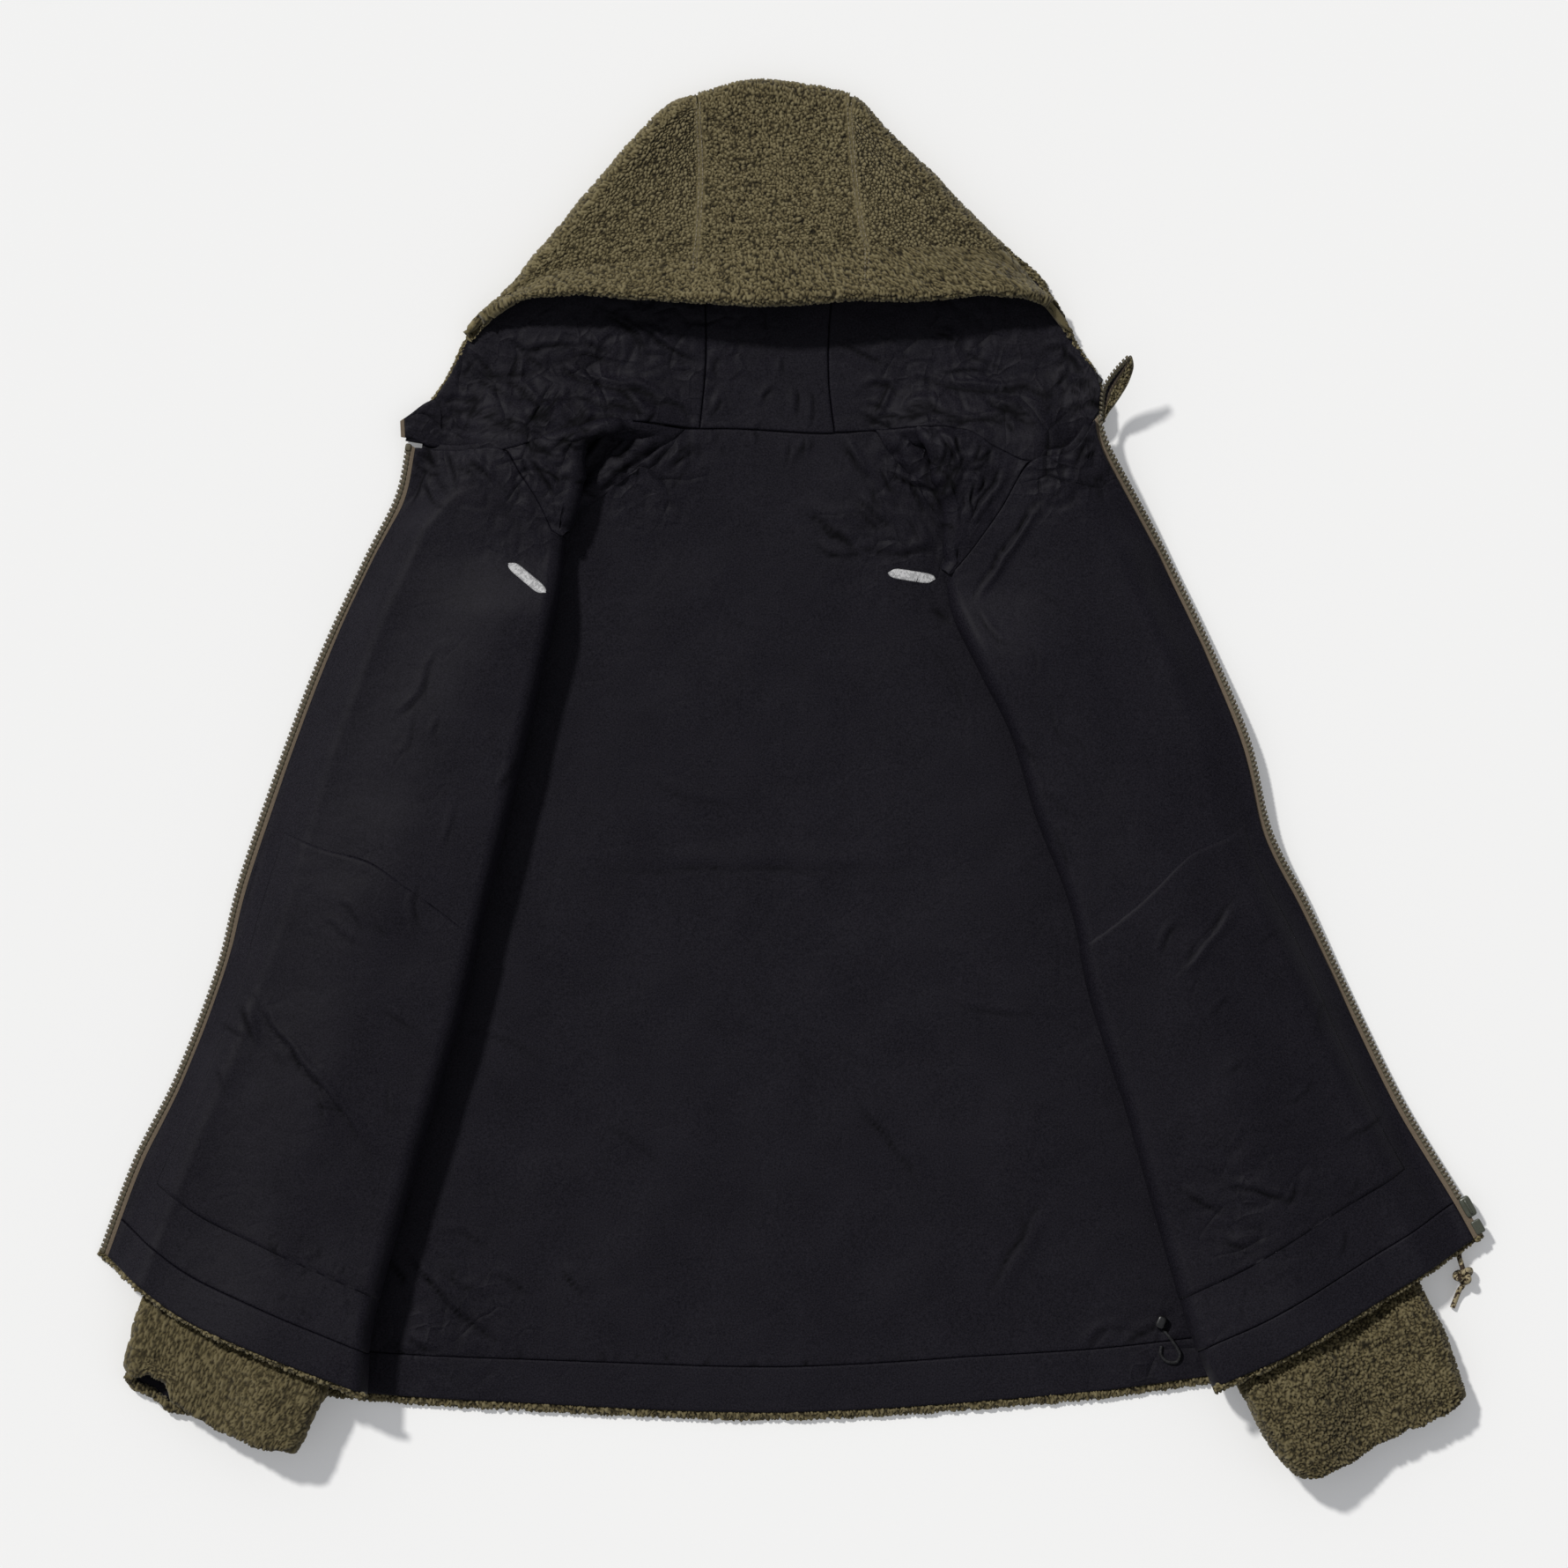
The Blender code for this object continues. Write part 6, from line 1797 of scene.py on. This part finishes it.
FLOOR_REACH, FLOOR_HEIGHT = 20.0, -0.0006
SKY, SKY_STRENGTH = (0.955, 0.97, 1.0, 1), 0.36
SUN, SUN_STRENGTH, SUN_FROM = (1.0, 0.985, 0.95), 2.80, (-0.65, 0.75, 1.0)
CAMERA_AT, CAMERA_LENS = (-0.0052, -0.001, 6.0), 199.9


def staged(data, name):
    obj = bpy.data.objects.new(name, data)
    bpy.context.scene.collection.objects.link(obj)
    return obj


def set_up_studio():
    floor = bpy.data.meshes.new("floor")
    around = (-1, -1), (1, -1), (1, 1), (-1, 1)
    corners = [(x * FLOOR_REACH, y * FLOOR_REACH, FLOOR_HEIGHT) for x, y in around]
    floor.from_pydata(corners, [], [(0, 1, 2, 3)])
    paper = Finish(
        "Paper", Roughness=0.9, Specular_IOR_Level=0.1, Base_Color=(0.722, 0.722, 0.722, 1),
        Emission_Color=(0.97, 0.98, 1.0, 1), Emission_Strength=0.19,
    )
    floor.materials.append(paper.material)
    staged(floor, "floor")
    for old in [o for o in bpy.data.objects if o.type in ("LIGHT", "CAMERA")]:
        bpy.data.objects.remove(old)
    scene = bpy.context.scene
    scene.view_settings.view_transform = "Standard"
    scene.world = bpy.data.worlds.new("studio")
    scene.world.use_nodes = True
    background = scene.world.node_tree.nodes["Background"]
    background.inputs["Color"].default_value = SKY
    background.inputs["Strength"].default_value = SKY_STRENGTH
    lamp = bpy.data.lights.new("key", "SUN")
    lamp.energy, lamp.color, lamp.angle = SUN_STRENGTH, SUN, math.radians(5)
    staged(lamp, "key").rotation_euler = Vector(SUN_FROM).to_track_quat("Z", "Y").to_euler()
    lens = bpy.data.cameras.new("above")
    lens.sensor_width, lens.lens = 36.0, CAMERA_LENS
    scene.camera = staged(lens, "above")
    scene.camera.location = CAMERA_AT


set_up_studio()
build_cords()
build_small_parts()
for side in SIGN:
    build_sleeve(side)
    build_front(side)
    build_zip(side)
    build_hood_side(side)
    build_hood_edge(side)
build_back()
build_hood_center()
build_hood_brim()
build_chin_flap()
build_chin_tab()
build_edgings()
build_stitches()
build_bars()
